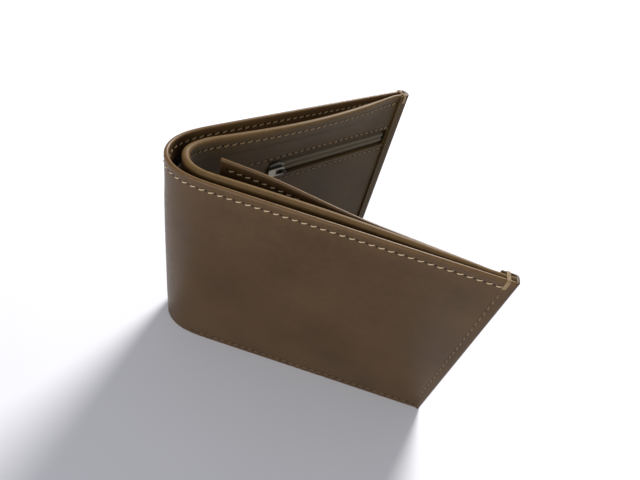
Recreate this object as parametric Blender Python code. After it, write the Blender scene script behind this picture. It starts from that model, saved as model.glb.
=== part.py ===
"""Leather bifold wallet with a zip coin pocket, standing open on its long bottom edge.

Every sheet follows one plan curve, the outside of the shell: two straight halves joined by a bend, the
spine. A point is given by its station (millimetres along that curve from the middle of the spine, negative
on the front half and positive on the back half), its depth (millimetres inwards from the shell's outside)
and its height above the floor. The leather folds on three upright lines, so each sheet that crosses the
spine is made as two halves and two spine strips, which part at those lines.
"""
import math

import bmesh
import bpy
import numpy as np

MM = 0.001

# The whole wallet
HEIGHT = 88.0
HALF_LENGTH = 123.5
OPENING = math.radians(49.0)
BEND_REACH = 29.6

# The three fold lines
FOLD_STATION = 14.0
FOLD_DEPTH = 3.8
SHELL_GAP_MIDDLE = 2.1
SHELL_GAP_SIDE = 1.6
DIVIDER_GAP = 0.6
PANEL_GAP_MIDDLE = 2.4
PANEL_GAP_SIDE = 1.2

# Shell
SHELL_THICK = 0.9
SHELL_HEM_THICK = 1.6
HEM_DROP = 8.0
LINING = (0.95, 1.35)
LINING_TOP = 79.3
BACK_EDGE_THICK = 5.4
FRONT_EDGE_THICK = 4.6
EDGE_WIDTH = 6.0
EDGE_LEAF = 0.85

# Bill divider
DIVIDER_THICK = 0.3
DIVIDER_TOP = 79.0
DIVIDER_DEPTH = 1.58
DIVIDER_SHARE_SPINE = 0.6
DIVIDER_SHARE_HALF = 0.2
DIVIDER_SHARE_REACH = (4.0, 34.0)
DIVIDER_END = 114.0

# Inner panel
PANEL_THICK = 1.7
PANEL_HEM_THICK = 2.6
PANEL_END = 122.2
BACK_SEAM_DEPTH = 3.5
FRONT_SEAM_DEPTH = 2.7
SEAM_STATION = 114.0
SPINE_REACH = 20.0
SPINE_DEPTH = 7.0
BACK_DEPTH = 7.3
FRONT_DEPTH = 5.3
BACK_BOW = 3.6
FRONT_BOW = 1.5
BACK_BOW_FOOT = 73.0
FRONT_BOW_FOOT = 40.0
PIN_REACH = (24.0, 50.0)
PIN_RISE = (4.0, 60.0)
HEM_RISE = 0.8
HEM_FADE = (96.0, 108.0)
FOOT = 1.5

# Zip coin pocket
ZIP_LEFT = 48.0
ZIP_RIGHT = 112.5
ZIP_START = 48.6
WINDOW_LOW = 62.05
WINDOW_HIGH = 69.7
ZIP_HEIGHT = 65.9
ZIP_SEAM_ABOVE = 1.5
ZIP_SEAM_BELOW = 2.9
TAPE_THICK = 0.5
TAPE_REACH = 10.0
TOOTH_PITCH = 2.4
TOOTH_ROOT = 1.1
TOOTH_TIP = 0.25
TOOTH_WIDTH = 0.8
TOOTH_CLEAR = 0.2
TAPE_CLEAR = 0.15
ZIP_END_INSET = 1.0
COIL_THICK = 1.1
TAPE_BEHIND = 1.0
SLIDER_LENGTH = 8.0
SLIDER_WIDTH = 6.6
SLIDER_OUT = (-0.4, 1.1)
PULL_LENGTH = 8.4
PULL_WIDTH = 4.6
PULL_THICK = 0.7
PULL_OUT = 1.4
PULL_TIP = 47.5
PULL_DROP = 1.9
PULL_RIM = 1.2
PULL_HOLE_LENGTH = 2.6
PULL_PAST_HINGE = 0.4
POUCH_THICK = 0.3
POUCH_RANGE = (20.0, 97.0)
POUCH_SLACK = 0.95
POUCH_CLEAR = 0.1
POUCH_FOOT = 8.0
POUCH_TOP = 77.0
POUCH_FULL = 56.0

# Card pockets on the front half's panel
POCKET_TOPS = (72.0, 61.0, 50.0)
POCKET_RANGE = (-104.0, -26.0)
POCKET_FOOT = 4.0
POCKET_LAP = 2.0
POCKET_LEAN = (0.08, 0.54)
POCKET_THICK = (0.36, 0.45)

# Flap
FLAP_STATION = -113.5
FLAP_DEPTH = 5.4
FLAP_LENGTH = 94.3
FLAP_FOOT = 4.0
FLAP_TOP = 85.8
FLAP_THICK = 1.6
FLAP_LEAF = 0.65
FLAP_START = 0.8
WINDOW_SPAN = (16.0, 74.0)
WINDOW_RISE = (24.0, 66.0)

# Stitching
STITCH_PITCH = 3.15
THREAD_WIDTH = 0.6
THREAD_LOW = 0.12
THREAD_HIGH = 0.34
THREAD_CLEAR = 0.12
SEAM_INSET = 3.2
SIDE_SEAM_INSET = 3.8
FLAP_SEAM_INSET = 3.5
FLAP_END_SEAM_INSET = 4.0
SIDE_SEAM_FOOT = 6.0
FOOT_SEAM_START = 18.0
ZIP_SEAM_START = 17.0
SEAM_END_GAP = 1.0
BARTACK_HALF = 0.6
BARTACK_CLEAR = 0.15
BARTACK_THICK = 0.25

LOOKS = {
    "leather": ((0.080, 0.048, 0.026), 0.45, 0.0),
    "leather_inner": ((0.064, 0.042, 0.028), 0.5, 0.0),
    "lining": ((0.061, 0.045, 0.034), 0.85, 0.0),
    "thread": ((0.58, 0.48, 0.35), 0.7, 0.0),
    "tape": ((0.114, 0.098, 0.070), 0.9, 0.0),
    "coil": ((0.075, 0.064, 0.048), 0.5, 0.0),
    "metal": ((0.30, 0.28, 0.24), 0.35, 1.0),
    "film": ((0.75, 0.75, 0.72), 0.12, 0.0),
}


# ---------------------------------------------------------------- the plan curve

CURVE_STEP = 0.25
CURVE_S = np.arange(-HALF_LENGTH, HALF_LENGTH + CURVE_STEP / 2, CURVE_STEP)


def heading(station):
    """Direction of travel along the shell's outside, in radians."""
    u = np.clip(np.asarray(station) / BEND_REACH, -1.0, 1.0)
    turned = 0.5 * (u + 1.0) + np.sin(math.pi * u) / (2.0 * math.pi)
    return math.pi - OPENING / 2 - (math.pi - OPENING) * turned


def running_sum(slope):
    steps = (slope[1:] + slope[:-1]) * CURVE_STEP / 2
    total = np.concatenate(([0.0], np.cumsum(steps)))
    return total - total[len(total) // 2]


CURVE_X = running_sum(np.cos(heading(CURVE_S)))
CURVE_Y = running_sum(np.sin(heading(CURVE_S)))
CENTRE_X = (CURVE_X[-1] + BACK_EDGE_THICK * math.sin(OPENING / 2)) / 2


def place(station, depth):
    """Plan position of a point on a sheet that follows the fold."""
    turn = float(heading(station))
    x = float(np.interp(station, CURVE_S, CURVE_X)) + depth * math.sin(turn)
    y = float(np.interp(station, CURVE_S, CURVE_Y)) - depth * math.cos(turn)
    return x - CENTRE_X, y


def mix(a, b, share):
    return a + (b - a) * share


def ease(value, low, high):
    """0 below low, 1 above high, and a smooth rise between."""
    t = min(max((value - low) / (high - low), 0.0), 1.0)
    return t * t * (3.0 - 2.0 * t)


def rounding(height, top, radius):
    """How far each face of a sheet draws in as its rounded top edge comes up to top."""
    rise = min(max((height - top + radius) / radius, 0.0), 0.95)
    return radius * (1.0 - math.sqrt(1.0 - rise * rise))


# ---------------------------------------------------------------- depths of the layers

def seam_depth(station):
    """Depth of the inner panel where it is sewn down at a half's outer edge."""
    return BACK_SEAM_DEPTH if station > 0 else FRONT_SEAM_DEPTH


def panel_depth(station, height):
    """Depth of the middle of the inner panel, which is free at the spine and pinned at its outer seams."""
    reach = abs(station)
    if station > 0:
        at_spine, bow, bow_foot = BACK_DEPTH, BACK_BOW, BACK_BOW_FOOT
    else:
        at_spine, bow, bow_foot = FRONT_DEPTH, FRONT_BOW, FRONT_BOW_FOOT
    at_seam = seam_depth(station)
    share = min(max((reach - SPINE_REACH) / (SEAM_STATION - SPINE_REACH), 0.0), 1.0)
    swell = bow * math.sin(math.pi * share) * ease(height, bow_foot, HEIGHT)
    slack = mix(at_spine, at_seam, share) + swell
    if reach < SPINE_REACH:
        slack = mix(SPINE_DEPTH, at_spine, ease(reach, 0.0, SPINE_REACH))
    pinned = ease(reach, *PIN_REACH) * (1.0 - ease(height, *PIN_RISE))
    return mix(slack, at_seam, pinned)


def panel_half_thick(station, height):
    hem = ease(height, HEIGHT - HEM_DROP - HEM_RISE, HEIGHT - HEM_DROP)
    hem *= 1.0 - ease(abs(station), *HEM_FADE)
    half = mix(PANEL_THICK, PANEL_HEM_THICK, hem) / 2
    return half - rounding(height, HEIGHT, half)


def panel_outer(station, height):
    return panel_depth(station, height) - panel_half_thick(station, height)


def panel_inner(station, height):
    return panel_depth(station, height) + panel_half_thick(station, height)


def divider_middle(station, height):
    slack = panel_depth(station, height) - seam_depth(station)
    share = mix(DIVIDER_SHARE_SPINE, DIVIDER_SHARE_HALF, ease(abs(station), *DIVIDER_SHARE_REACH))
    return DIVIDER_DEPTH + share * slack


# ---------------------------------------------------------------- building

def clear_scene():
    for item in list(bpy.data.objects):
        bpy.data.objects.remove(item, do_unlink=True)


def material(look):
    found = bpy.data.materials.get(look)
    if found:
        return found.copy()
    made = bpy.data.materials.new(look)
    made.use_nodes = True
    colour, roughness, metallic = LOOKS[look]
    shader = made.node_tree.nodes["Principled BSDF"]
    shader.inputs["Base Color"].default_value = (*colour, 1.0)
    shader.inputs["Roughness"].default_value = roughness
    shader.inputs["Metallic"].default_value = metallic
    return made


def body_empty(name, x, y, z=0.0, parent=None):
    """An empty on the joint's axis that carries one moving body; x, y and z are plan millimetres."""
    empty = bpy.data.objects.new(name, None)
    bpy.context.scene.collection.objects.link(empty)
    position = np.array((x, y, z)) * MM
    if parent:
        empty.parent = parent
        position = position - np.array(parent["world"])
        empty["world"] = [float(v) for v in (position + np.array(parent["world"]))]
    else:
        empty["world"] = [float(v) for v in position]
    empty.location = position
    return empty


def add_object(name, body, look, bm, smooth=True):
    """Turns a bmesh in plan millimetres into a node carried by a body's empty."""
    bmesh.ops.recalc_face_normals(bm, faces=bm.faces)
    origin = body["world"]
    for vert in bm.verts:
        vert.co = [c * MM - o for c, o in zip(vert.co, origin)]
    mesh = bpy.data.meshes.new(name)
    bm.to_mesh(mesh)
    bm.free()
    if smooth:
        mesh.shade_smooth()
        mesh.set_sharp_from_angle(angle=math.radians(40.0))
    node = bpy.data.objects.new(name, mesh)
    bpy.context.scene.collection.objects.link(node)
    node.parent = body
    node.data.materials.append(material(look))
    return node


def sheet(name, body, look, stations, levels, near, far, where=place, window=None):
    """A closed sheet between the depths near(s, z) and far(s, z), with an optional rectangular window."""
    bm = bmesh.new()
    skins = []
    for depth in (near, far):
        rows = [[bm.verts.new((*where(s, depth(s, z)), z)) for z in levels] for s in stations]
        skins.append(rows)
    kept = set()
    for i in range(len(stations) - 1):
        for j in range(len(levels) - 1):
            s = (stations[i] + stations[i + 1]) / 2
            z = (levels[j] + levels[j + 1]) / 2
            inside = window and window[0] < s < window[1] and window[2] < z < window[3]
            if not inside:
                kept.add((i, j))
    near_skin, far_skin = skins
    for i, j in kept:
        corners = ((i, j), (i + 1, j), (i + 1, j + 1), (i, j + 1))
        bm.faces.new([near_skin[a][b] for a, b in corners])
        bm.faces.new([far_skin[a][b] for a, b in reversed(corners)])
        neighbours = ((i, j - 1), (i + 1, j), (i, j + 1), (i - 1, j))
        for k, neighbour in enumerate(neighbours):
            if neighbour in kept:
                continue
            (a, b), (c, d) = corners[k], corners[(k + 1) % 4]
            bm.faces.new((near_skin[a][b], far_skin[a][b], far_skin[c][d], near_skin[c][d]))
    return add_object(name, body, look, bm)


def prism(name, body, look, outline, low, high):
    """An upright solid over a plan outline."""
    bm = bmesh.new()
    base = bm.faces.new([bm.verts.new((x, y, low)) for x, y in outline])
    top = bmesh.ops.extrude_face_region(bm, geom=[base])
    bmesh.ops.translate(bm, vec=(0.0, 0.0, high - low), verts=[g for g in top["geom"]
                                                                if isinstance(g, bmesh.types.BMVert)])
    return add_object(name, body, look, bm, smooth=False)


def between(values, start, end):
    """The given values strictly inside a range, with the range's two ends added."""
    low, high = min(start, end), max(start, end)
    return [low] + [v for v in values if low + 0.6 < v < high - 0.6] + [high]


HALF_STATIONS = (17.0, 20.0, 23.0, 26.0, 30.0, 38.0, 48.0, 58.0, 68.0, 78.0, 88.0, 96.0, 103.0, 110.0, 114.0)
SPINE_STATIONS = (4.0, 6.0, 8.0, 10.0, 12.0)


def span(side, part, gap_middle, gap_side, end=HALF_LENGTH):
    """Stations of one sheet on one side: part is 'half' or 'spine'."""
    if part == "half":
        found = between(HALF_STATIONS, FOLD_STATION + gap_side, end)
    else:
        found = between(SPINE_STATIONS, gap_middle, FOLD_STATION - gap_side)
    return sorted(side * s for s in found)


def top_levels(top, radius):
    return [top - radius, top - 0.5 * radius, top - 0.15 * radius, top]


# ---------------------------------------------------------------- stitching

def seam_steps(start, end):
    """Positions of the thread's dips and crowns along a seam: two to a stitch."""
    count = max(2, 2 * round(abs(end - start) / STITCH_PITCH))
    return [start + (end - start) * k / count for k in range(count + 1)]


def seam_along(name, body, start, end, height, depth, side, where=place):
    """A row of stitches at one height, on the face at depth(s, z); side -1 is its outer side, 1 its inner."""
    stations = seam_steps(start, end)
    crown = {s: (THREAD_HIGH if k % 2 else THREAD_LOW) for k, s in enumerate(stations)}
    levels = [height - THREAD_WIDTH / 2, height + THREAD_WIDTH / 2]

    def face(s, z):
        return depth(s, height) + side * THREAD_CLEAR

    def crest(s, z):
        return face(s, z) + side * crown[s]

    near, far = (crest, face) if side < 0 else (face, crest)
    return sheet(name, body, "thread", stations, levels, near, far, where)


def seam_up(name, body, station, low, high, depth, side, where=place):
    """A row of stitches that runs up a sheet at one station."""
    levels = seam_steps(low, high)
    crown = {z: (THREAD_HIGH if k % 2 else THREAD_LOW) for k, z in enumerate(levels)}
    stations = [station - THREAD_WIDTH / 2, station + THREAD_WIDTH / 2]

    def face(s, z):
        return depth(station, z) + side * THREAD_CLEAR

    def crest(s, z):
        return face(s, z) + side * crown[z]

    near, far = (crest, face) if side < 0 else (face, crest)
    return sheet(name, body, "thread", stations, levels, near, far, where)


# ---------------------------------------------------------------- shell, lining and divider

def shell_near(station, height):
    return rounding(height, HEIGHT, SHELL_HEM_THICK / 2)


def shell_far(station, height):
    hem = ease(height, HEIGHT - HEM_DROP, HEIGHT - HEM_DROP + 0.4)
    return mix(SHELL_THICK, SHELL_HEM_THICK, hem) - rounding(height, HEIGHT, SHELL_HEM_THICK / 2)


def make_shell(name, body, side, part):
    stations = span(side, part, SHELL_GAP_MIDDLE, SHELL_GAP_SIDE, HALF_LENGTH - 1.0)
    levels = [0.0, HEIGHT - HEM_DROP, HEIGHT - HEM_DROP + 0.4] + top_levels(HEIGHT, SHELL_HEM_THICK / 2)
    sheet(name, body, "leather", stations, levels, shell_near, shell_far)


def make_lining(name, body, side, part):
    stations = span(side, part, SHELL_GAP_MIDDLE, SHELL_GAP_SIDE, HALF_LENGTH - 1.5)
    sheet(name, body, "lining", stations, [1.2, LINING_TOP], lambda s, z: LINING[0], lambda s, z: LINING[1])


def divider_near(station, height):
    return divider_middle(station, height) - DIVIDER_THICK / 2


def divider_far(station, height):
    return divider_middle(station, height) + DIVIDER_THICK / 2


def make_divider(name, body, side, part):
    stations = span(side, part, DIVIDER_GAP, DIVIDER_GAP, DIVIDER_END)
    levels = [FOOT, 6.0, 14.0, 24.0, 36.0, 48.0, 60.0, BACK_BOW_FOOT, DIVIDER_TOP]
    sheet(name, body, "lining", stations, levels, divider_near, divider_far)


def edge_thick(side):
    return BACK_EDGE_THICK if side > 0 else FRONT_EDGE_THICK


def make_edge(name, body, side):
    """The strip that closes a half's outer edge: over the end of the layers and back along the inside."""
    start, bend, end = HALF_LENGTH - EDGE_WIDTH, HALF_LENGTH - SHELL_THICK, HALF_LENGTH
    thick = edge_thick(side)
    inside = thick - EDGE_LEAF
    profile = ((bend, 0.0), (end - 0.3, 0.0), (end, 0.3), (end, thick - 0.4), (end - 0.4, thick),
               (start, thick), (start, inside), (bend, inside))
    outline = [place(side * s, d) for s, d in profile]
    prism(name, body, "leather", outline, 0.0, HEIGHT)


# ---------------------------------------------------------------- inner panel

PANEL_LEVELS = [FOOT, 6.0, 14.0, 24.0, 36.0, 48.0, 56.0, WINDOW_LOW, ZIP_HEIGHT, WINDOW_HIGH, BACK_BOW_FOOT,
                77.0, HEIGHT - HEM_DROP - HEM_RISE, HEIGHT - HEM_DROP, 84.0] + top_levels(HEIGHT, PANEL_HEM_THICK / 2)


def make_panel(name, body, side, part, window=None):
    stations = span(side, part, PANEL_GAP_MIDDLE, PANEL_GAP_SIDE, PANEL_END)
    if window:
        stations = sorted(set(stations + list(window[:2])))
        stations = [s for s in stations if s in window[:2] or min(abs(s - w) for w in window[:2]) > 0.8]
    sheet(name, body, "leather_inner", stations, PANEL_LEVELS, panel_outer, panel_inner, window=window)


# The zip's own line: straight in plan, because the panel is pulled flat at that height.
ZIP_END = place(SEAM_STATION, BACK_SEAM_DEPTH)
ZIP_MARK = place(BEND_REACH + 1.0, panel_depth(BEND_REACH + 1.0, ZIP_HEIGHT))
ZIP_TURN = math.atan2(ZIP_END[1] - ZIP_MARK[1], ZIP_END[0] - ZIP_MARK[0])
ZIP_ALONG = (math.cos(ZIP_TURN), math.sin(ZIP_TURN))
ZIP_INWARD = (math.sin(ZIP_TURN), -math.cos(ZIP_TURN))


def on_zip(along, out):
    """Plan position from the distance along the zip and the distance out of the panel's middle plane."""
    reach = along - SEAM_STATION
    return (ZIP_END[0] + reach * ZIP_ALONG[0] + out * ZIP_INWARD[0],
            ZIP_END[1] + reach * ZIP_ALONG[1] + out * ZIP_INWARD[1])


def make_tape(name, body, low, high):
    sheet(name, body, "tape", [ZIP_START, ZIP_RIGHT - ZIP_END_INSET], [low, high],
          lambda s, z: -TAPE_BEHIND - TAPE_THICK, lambda s, z: -TAPE_BEHIND, where=on_zip)


def make_coil(name, body, side):
    """One row of teeth: a root strip with square teeth that reach across the zip's middle line."""
    out = -TAPE_BEHIND - TAPE_THICK / 2
    start, end = ZIP_START + SLIDER_LENGTH / 2, ZIP_RIGHT - ZIP_END_INSET
    count = int((end - start) / TOOTH_PITCH)
    bm = bmesh.new()
    tip = ZIP_HEIGHT - side * TOOTH_TIP
    root = ZIP_HEIGHT + side * (TOOTH_TIP + TOOTH_CLEAR)
    crown = ZIP_HEIGHT + side * (TOOTH_TIP + TOOTH_CLEAR + TOOTH_ROOT)
    phase = 0.0 if side > 0 else TOOTH_PITCH / 2
    outline = [(start, crown)]
    for k in range(count):
        left = start + phase + k * TOOTH_PITCH + TOOTH_CLEAR
        right = left + TOOTH_WIDTH
        outline += [(left, root), (left, tip), (right, tip), (right, root)]
    outline += [(end, root), (end, crown)]
    if phase > 0.0 or outline[1][0] > start:
        outline.insert(1, (start, root))
    face = bm.faces.new([bm.verts.new((*on_zip(a, out - COIL_THICK / 2), z)) for a, z in outline])
    grown = bmesh.ops.extrude_face_region(bm, geom=[face])
    shift = (ZIP_INWARD[0] * COIL_THICK, ZIP_INWARD[1] * COIL_THICK, 0.0)
    bmesh.ops.translate(bm, vec=shift, verts=[g for g in grown["geom"] if isinstance(g, bmesh.types.BMVert)])
    add_object(name, body, "coil", bm, smooth=False)


def make_block(name, body, look, along, out, rise, bevel=0.0):
    """A box in the zip's own directions, with its upright and long edges softened."""
    bm = bmesh.new()
    corners = [bm.verts.new((*on_zip(a, o), z)) for z in rise for a, o in
               ((along[0], out[0]), (along[1], out[0]), (along[1], out[1]), (along[0], out[1]))]
    for ring in ((0, 1, 2, 3), (4, 5, 6, 7), (0, 1, 5, 4), (1, 2, 6, 5), (2, 3, 7, 6), (3, 0, 4, 7)):
        bm.faces.new([corners[k] for k in ring])
    if bevel:
        bmesh.ops.recalc_face_normals(bm, faces=bm.faces)
        bmesh.ops.bevel(bm, geom=list(bm.edges), offset=bevel, segments=2, affect="EDGES", profile=0.5)
    return add_object(name, body, look, bm)


def make_pouch(name, body):
    """The coin pocket's back sheet, a little behind the panel."""
    stations = between(HALF_STATIONS, *POUCH_RANGE)
    levels = [POUCH_FOOT, 14.0, 24.0, 36.0, 48.0, POUCH_FULL, WINDOW_LOW, BACK_BOW_FOOT, POUCH_TOP]

    def front(s, z):
        slack = POUCH_SLACK * ease(z, POUCH_FOOT, POUCH_FULL)
        return panel_outer(s, min(z, BACK_BOW_FOOT)) - POUCH_CLEAR - slack

    sheet(name, body, "lining", stations, levels, lambda s, z: front(s, z) - POUCH_THICK, front)


def make_slider(body):
    half = SLIDER_WIDTH / 2
    make_block("zip_slider", body, "metal", (ZIP_START, ZIP_START + SLIDER_LENGTH), SLIDER_OUT,
               (ZIP_HEIGHT - half, ZIP_HEIGHT + half), bevel=0.3)


def make_pull(body):
    """A flat tab with a rectangular hole at its hinged end, lying along the zip towards the spine."""
    end = PULL_TIP + PULL_LENGTH
    middle, half = ZIP_HEIGHT - PULL_DROP, PULL_WIDTH / 2
    stations = [PULL_TIP, end - PULL_RIM - PULL_HOLE_LENGTH, end - PULL_RIM, end]
    levels = [middle - half, middle - half + PULL_RIM, middle + half - PULL_RIM, middle + half]
    window = (stations[1], stations[2], levels[1], levels[2])
    sheet("zip_pull", body, "metal", stations, levels, lambda s, z: PULL_OUT,
          lambda s, z: PULL_OUT + PULL_THICK, where=on_zip, window=window)


# ---------------------------------------------------------------- card pockets and flap

def make_pocket(name, body, top, low):
    """One card pocket: a strip that leans out from the panel and laps the strip below it."""
    stations = sorted(-s for s in between(HALF_STATIONS, -POCKET_RANGE[1], -POCKET_RANGE[0]))
    levels = between([z for z in PANEL_LEVELS if z < 77.0], low, top)

    def near(s, z):
        return panel_depth(s, z) + PANEL_THICK / 2 + mix(*POCKET_LEAN, (z - low) / (top - low))

    sheet(name, body, "leather_inner", stations, levels, near,
          lambda s, z: near(s, z) + mix(*POCKET_THICK, (z - low) / (top - low)))


FLAP_AXIS = place(FLAP_STATION, FLAP_DEPTH)
FLAP_BENDS = ((0.0, 5.6), (42.0, 11.2), (76.0, 4.0))


def flap_lift(along):
    """Angle between the flap and the front half, easing from each stretch to the next."""
    lift = FLAP_BENDS[0][1]
    for (start, angle), (_, before) in zip(FLAP_BENDS[1:], FLAP_BENDS):
        lift += (angle - before) * ease(along, start - 10.0, start + 10.0)
    return math.radians(lift)


FLAP_T = np.arange(0.0, FLAP_LENGTH + 0.5, 1.0)
FLAP_TURN = math.pi - OPENING / 2 - np.array([flap_lift(t) for t in FLAP_T])
FLAP_X = np.concatenate(([0.0], np.cumsum((np.cos(FLAP_TURN[1:]) + np.cos(FLAP_TURN[:-1])) / 2)))
FLAP_Y = np.concatenate(([0.0], np.cumsum((np.sin(FLAP_TURN[1:]) + np.sin(FLAP_TURN[:-1])) / 2)))


def on_flap(along, depth):
    turn = float(np.interp(along, FLAP_T, FLAP_TURN))
    x = FLAP_AXIS[0] + float(np.interp(along, FLAP_T, FLAP_X)) + depth * math.sin(turn)
    y = FLAP_AXIS[1] + float(np.interp(along, FLAP_T, FLAP_Y)) - depth * math.cos(turn)
    return x, y


FLAP_STATIONS = (8.0, 16.0, 24.0, 29.0, 34.0, 39.0, 44.0, 49.0, 54.0, 60.0, 65.0, 70.0, 74.0, 79.0, 84.0,
                 89.0)


def make_flap(body):
    leaf = FLAP_LEAF
    stations = between(FLAP_STATIONS, FLAP_START, FLAP_LENGTH)
    levels = [FLAP_FOOT, FLAP_TOP - 6.0] + top_levels(FLAP_TOP, leaf / 2)

    def drawn(z):
        return rounding(z, FLAP_TOP, leaf / 2)

    middle = FLAP_THICK / 2
    sheet("flap_front_leaf", body, "leather", stations, levels,
          lambda s, z: -middle + drawn(z), lambda s, z: -middle + leaf - drawn(z), where=on_flap)
    stations = sorted(set(stations) | set(WINDOW_SPAN))
    levels = sorted(set(levels) | set(WINDOW_RISE))
    window = (*WINDOW_SPAN, *WINDOW_RISE)
    sheet("flap_back_leaf", body, "leather_inner", stations, levels,
          lambda s, z: middle - leaf + drawn(z), lambda s, z: middle - drawn(z), where=on_flap, window=window)
    film = [s for s in stations if WINDOW_SPAN[0] - 9.0 < s < WINDOW_SPAN[1] + 6.0]
    sheet("flap_window", body, "film", film, [WINDOW_RISE[0] - 4.0, WINDOW_RISE[1] + 4.0],
          lambda s, z: -0.05, lambda s, z: 0.05, where=on_flap)
    seam_along("thread_flap", body, 5.0, FLAP_LENGTH - 3.0, FLAP_TOP - FLAP_SEAM_INSET,
               lambda s, z: -middle, -1, on_flap)
    seam_up("thread_flap_end", body, FLAP_LENGTH - FLAP_END_SEAM_INSET, 8.0, FLAP_TOP - 6.0,
            lambda s, z: middle, 1, on_flap)


# ---------------------------------------------------------------- assembly

def make_layers(body, side, part, tag):
    make_shell(f"shell_{tag}", body, side, part)
    make_lining(f"lining_{tag}", body, side, part)
    make_divider(f"divider_{tag}", body, side, part)


def make_shell_seams(body, side, part, tag):
    """The row of stitches under the shell's top edge."""
    stations = span(side, part, SHELL_GAP_MIDDLE, SHELL_GAP_SIDE, HALF_LENGTH - SIDE_SEAM_INSET)
    seam_along(f"thread_shell_{tag}", body, stations[0] + 0.5, stations[-1] - 0.5, HEIGHT - SEAM_INSET,
               lambda s, z: 0.0, -1)


def make_panel_seams(body, side, part, tag):
    stations = span(side, part, PANEL_GAP_MIDDLE, PANEL_GAP_SIDE, HALF_LENGTH - EDGE_WIDTH)
    seam_along(f"thread_panel_{tag}", body, stations[0] + 0.8, stations[-1] - 0.8, HEIGHT - SEAM_INSET,
               panel_inner, 1)


def make_half_seams(body, side, tag):
    station = side * (HALF_LENGTH - SIDE_SEAM_INSET)
    top = HEIGHT - SEAM_INSET - SEAM_END_GAP
    seam_up(f"thread_side_{tag}", body, station, SIDE_SEAM_FOOT, top, lambda s, z: 0.0, -1)
    ends = sorted((side * FOOT_SEAM_START, side * (HALF_LENGTH - SIDE_SEAM_INSET - SEAM_END_GAP)))
    seam_along(f"thread_bottom_{tag}", body, *ends, SEAM_INSET, lambda s, z: 0.0, -1)


def make_bartack(name, body, side):
    """A saddle of thread over the top edge, where the shell and the panel are joined at the corner."""
    middle = side * (HALF_LENGTH - SIDE_SEAM_INSET)
    low, crest = HEIGHT - SEAM_INSET + 0.4, HEIGHT + 0.1
    near, far = -BARTACK_CLEAR, edge_thick(side) + BARTACK_CLEAR
    outside, inside, top = near - BARTACK_THICK, far + BARTACK_THICK, crest + BARTACK_THICK
    section = ((outside, low), (near, low), (near, crest), (far, crest), (far, low), (inside, low),
               (inside, top), (outside, top))
    bm = bmesh.new()
    behind, ahead = place(middle - BARTACK_HALF, 0.0), place(middle + BARTACK_HALF, 0.0)
    face = bm.faces.new([bm.verts.new((*place(middle - BARTACK_HALF, d), z)) for d, z in section])
    grown = bmesh.ops.extrude_face_region(bm, geom=[face])
    shift = (ahead[0] - behind[0], ahead[1] - behind[1], 0.0)
    bmesh.ops.translate(bm, vec=shift, verts=[g for g in grown["geom"] if isinstance(g, bmesh.types.BMVert)])
    add_object(name, body, "thread", bm, smooth=False)


def make_back_half(body):
    make_layers(body, 1, "half", "back")
    make_edge("edge_strip_back", body, 1)
    make_panel("panel_back", body, 1, "half", window=(ZIP_LEFT, ZIP_RIGHT, WINDOW_LOW, WINDOW_HIGH))
    make_pouch("coin_pouch_back_sheet", body)
    gap = TOOTH_TIP + TOOTH_CLEAR + TOOTH_ROOT + TAPE_CLEAR
    make_tape("zip_tape_upper", body, ZIP_HEIGHT + gap, ZIP_HEIGHT + gap + TAPE_REACH / 2)
    make_tape("zip_tape_lower", body, ZIP_HEIGHT - gap - TAPE_REACH / 2, ZIP_HEIGHT - gap)
    make_coil("zip_coil_upper", body, 1)
    make_coil("zip_coil_lower", body, -1)
    make_shell_seams(body, 1, "half", "back")
    make_panel_seams(body, 1, "half", "back")
    make_half_seams(body, 1, "back")
    make_bartack("bartack_back", body, 1)
    for name, height in (("thread_zip_upper", WINDOW_HIGH + ZIP_SEAM_ABOVE),
                         ("thread_zip_lower", WINDOW_LOW - ZIP_SEAM_BELOW)):
        seam_along(name, body, ZIP_SEAM_START, ZIP_RIGHT + 2.0, height, panel_inner, 1)


def make_spine(body, side, tag):
    make_layers(body, side, "spine", tag)
    make_panel(f"panel_{tag}", body, side, "spine")
    make_shell_seams(body, side, "spine", tag)
    make_panel_seams(body, side, "spine", tag)


def make_front_half(body):
    make_layers(body, -1, "half", "front")
    make_edge("edge_strip_front", body, -1)
    make_panel("panel_front", body, -1, "half")
    floors = [top - POCKET_LAP for top in POCKET_TOPS[1:]] + [POCKET_FOOT]
    for k, (top, low) in enumerate(zip(POCKET_TOPS, floors), 1):
        make_pocket(f"card_pocket_{k}", body, top, low)
    make_shell_seams(body, -1, "half", "front")
    make_panel_seams(body, -1, "half", "front")
    make_half_seams(body, -1, "front")
    make_bartack("bartack_front", body, -1)


def main():
    clear_scene()
    back_half = body_empty("back_half_body", 0.0, 0.0)
    spine_back = body_empty("spine_back_body", *place(FOLD_STATION, FOLD_DEPTH), parent=back_half)
    spine_front = body_empty("spine_front_body", *place(0.0, FOLD_DEPTH), parent=spine_back)
    front_half = body_empty("front_half_body", *place(-FOLD_STATION, FOLD_DEPTH), parent=spine_front)
    flap = body_empty("flap_body", *FLAP_AXIS, parent=front_half)
    middle = on_zip(ZIP_START + SLIDER_LENGTH / 2, 0.0)
    slider = body_empty("slider_body", *middle, ZIP_HEIGHT, parent=back_half)
    make_back_half(back_half)
    make_spine(spine_back, 1, "spine_back")
    make_spine(spine_front, -1, "spine_front")
    make_front_half(front_half)
    make_flap(flap)
    make_slider(slider)
    hinge = on_zip(PULL_TIP + PULL_LENGTH - PULL_PAST_HINGE, PULL_OUT + PULL_THICK / 2)
    pull = body_empty("pull_body", *hinge, ZIP_HEIGHT - PULL_DROP, parent=slider)
    make_pull(pull)


main()
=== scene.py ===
"""A brown leather bifold wallet with a zip coin pocket, standing open on a pale floor.

Every sheet follows the plan curve of the shell's outside. A point is given by its station (millimetres
along that curve from the middle of the spine, negative on the front half), its depth (millimetres inwards
from the shell's outside) and its height. Each sheet that crosses the spine is cut into three pieces, and
each piece bends with one fold. Lengths are millimetres until a mesh is made.
"""

import math

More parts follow.
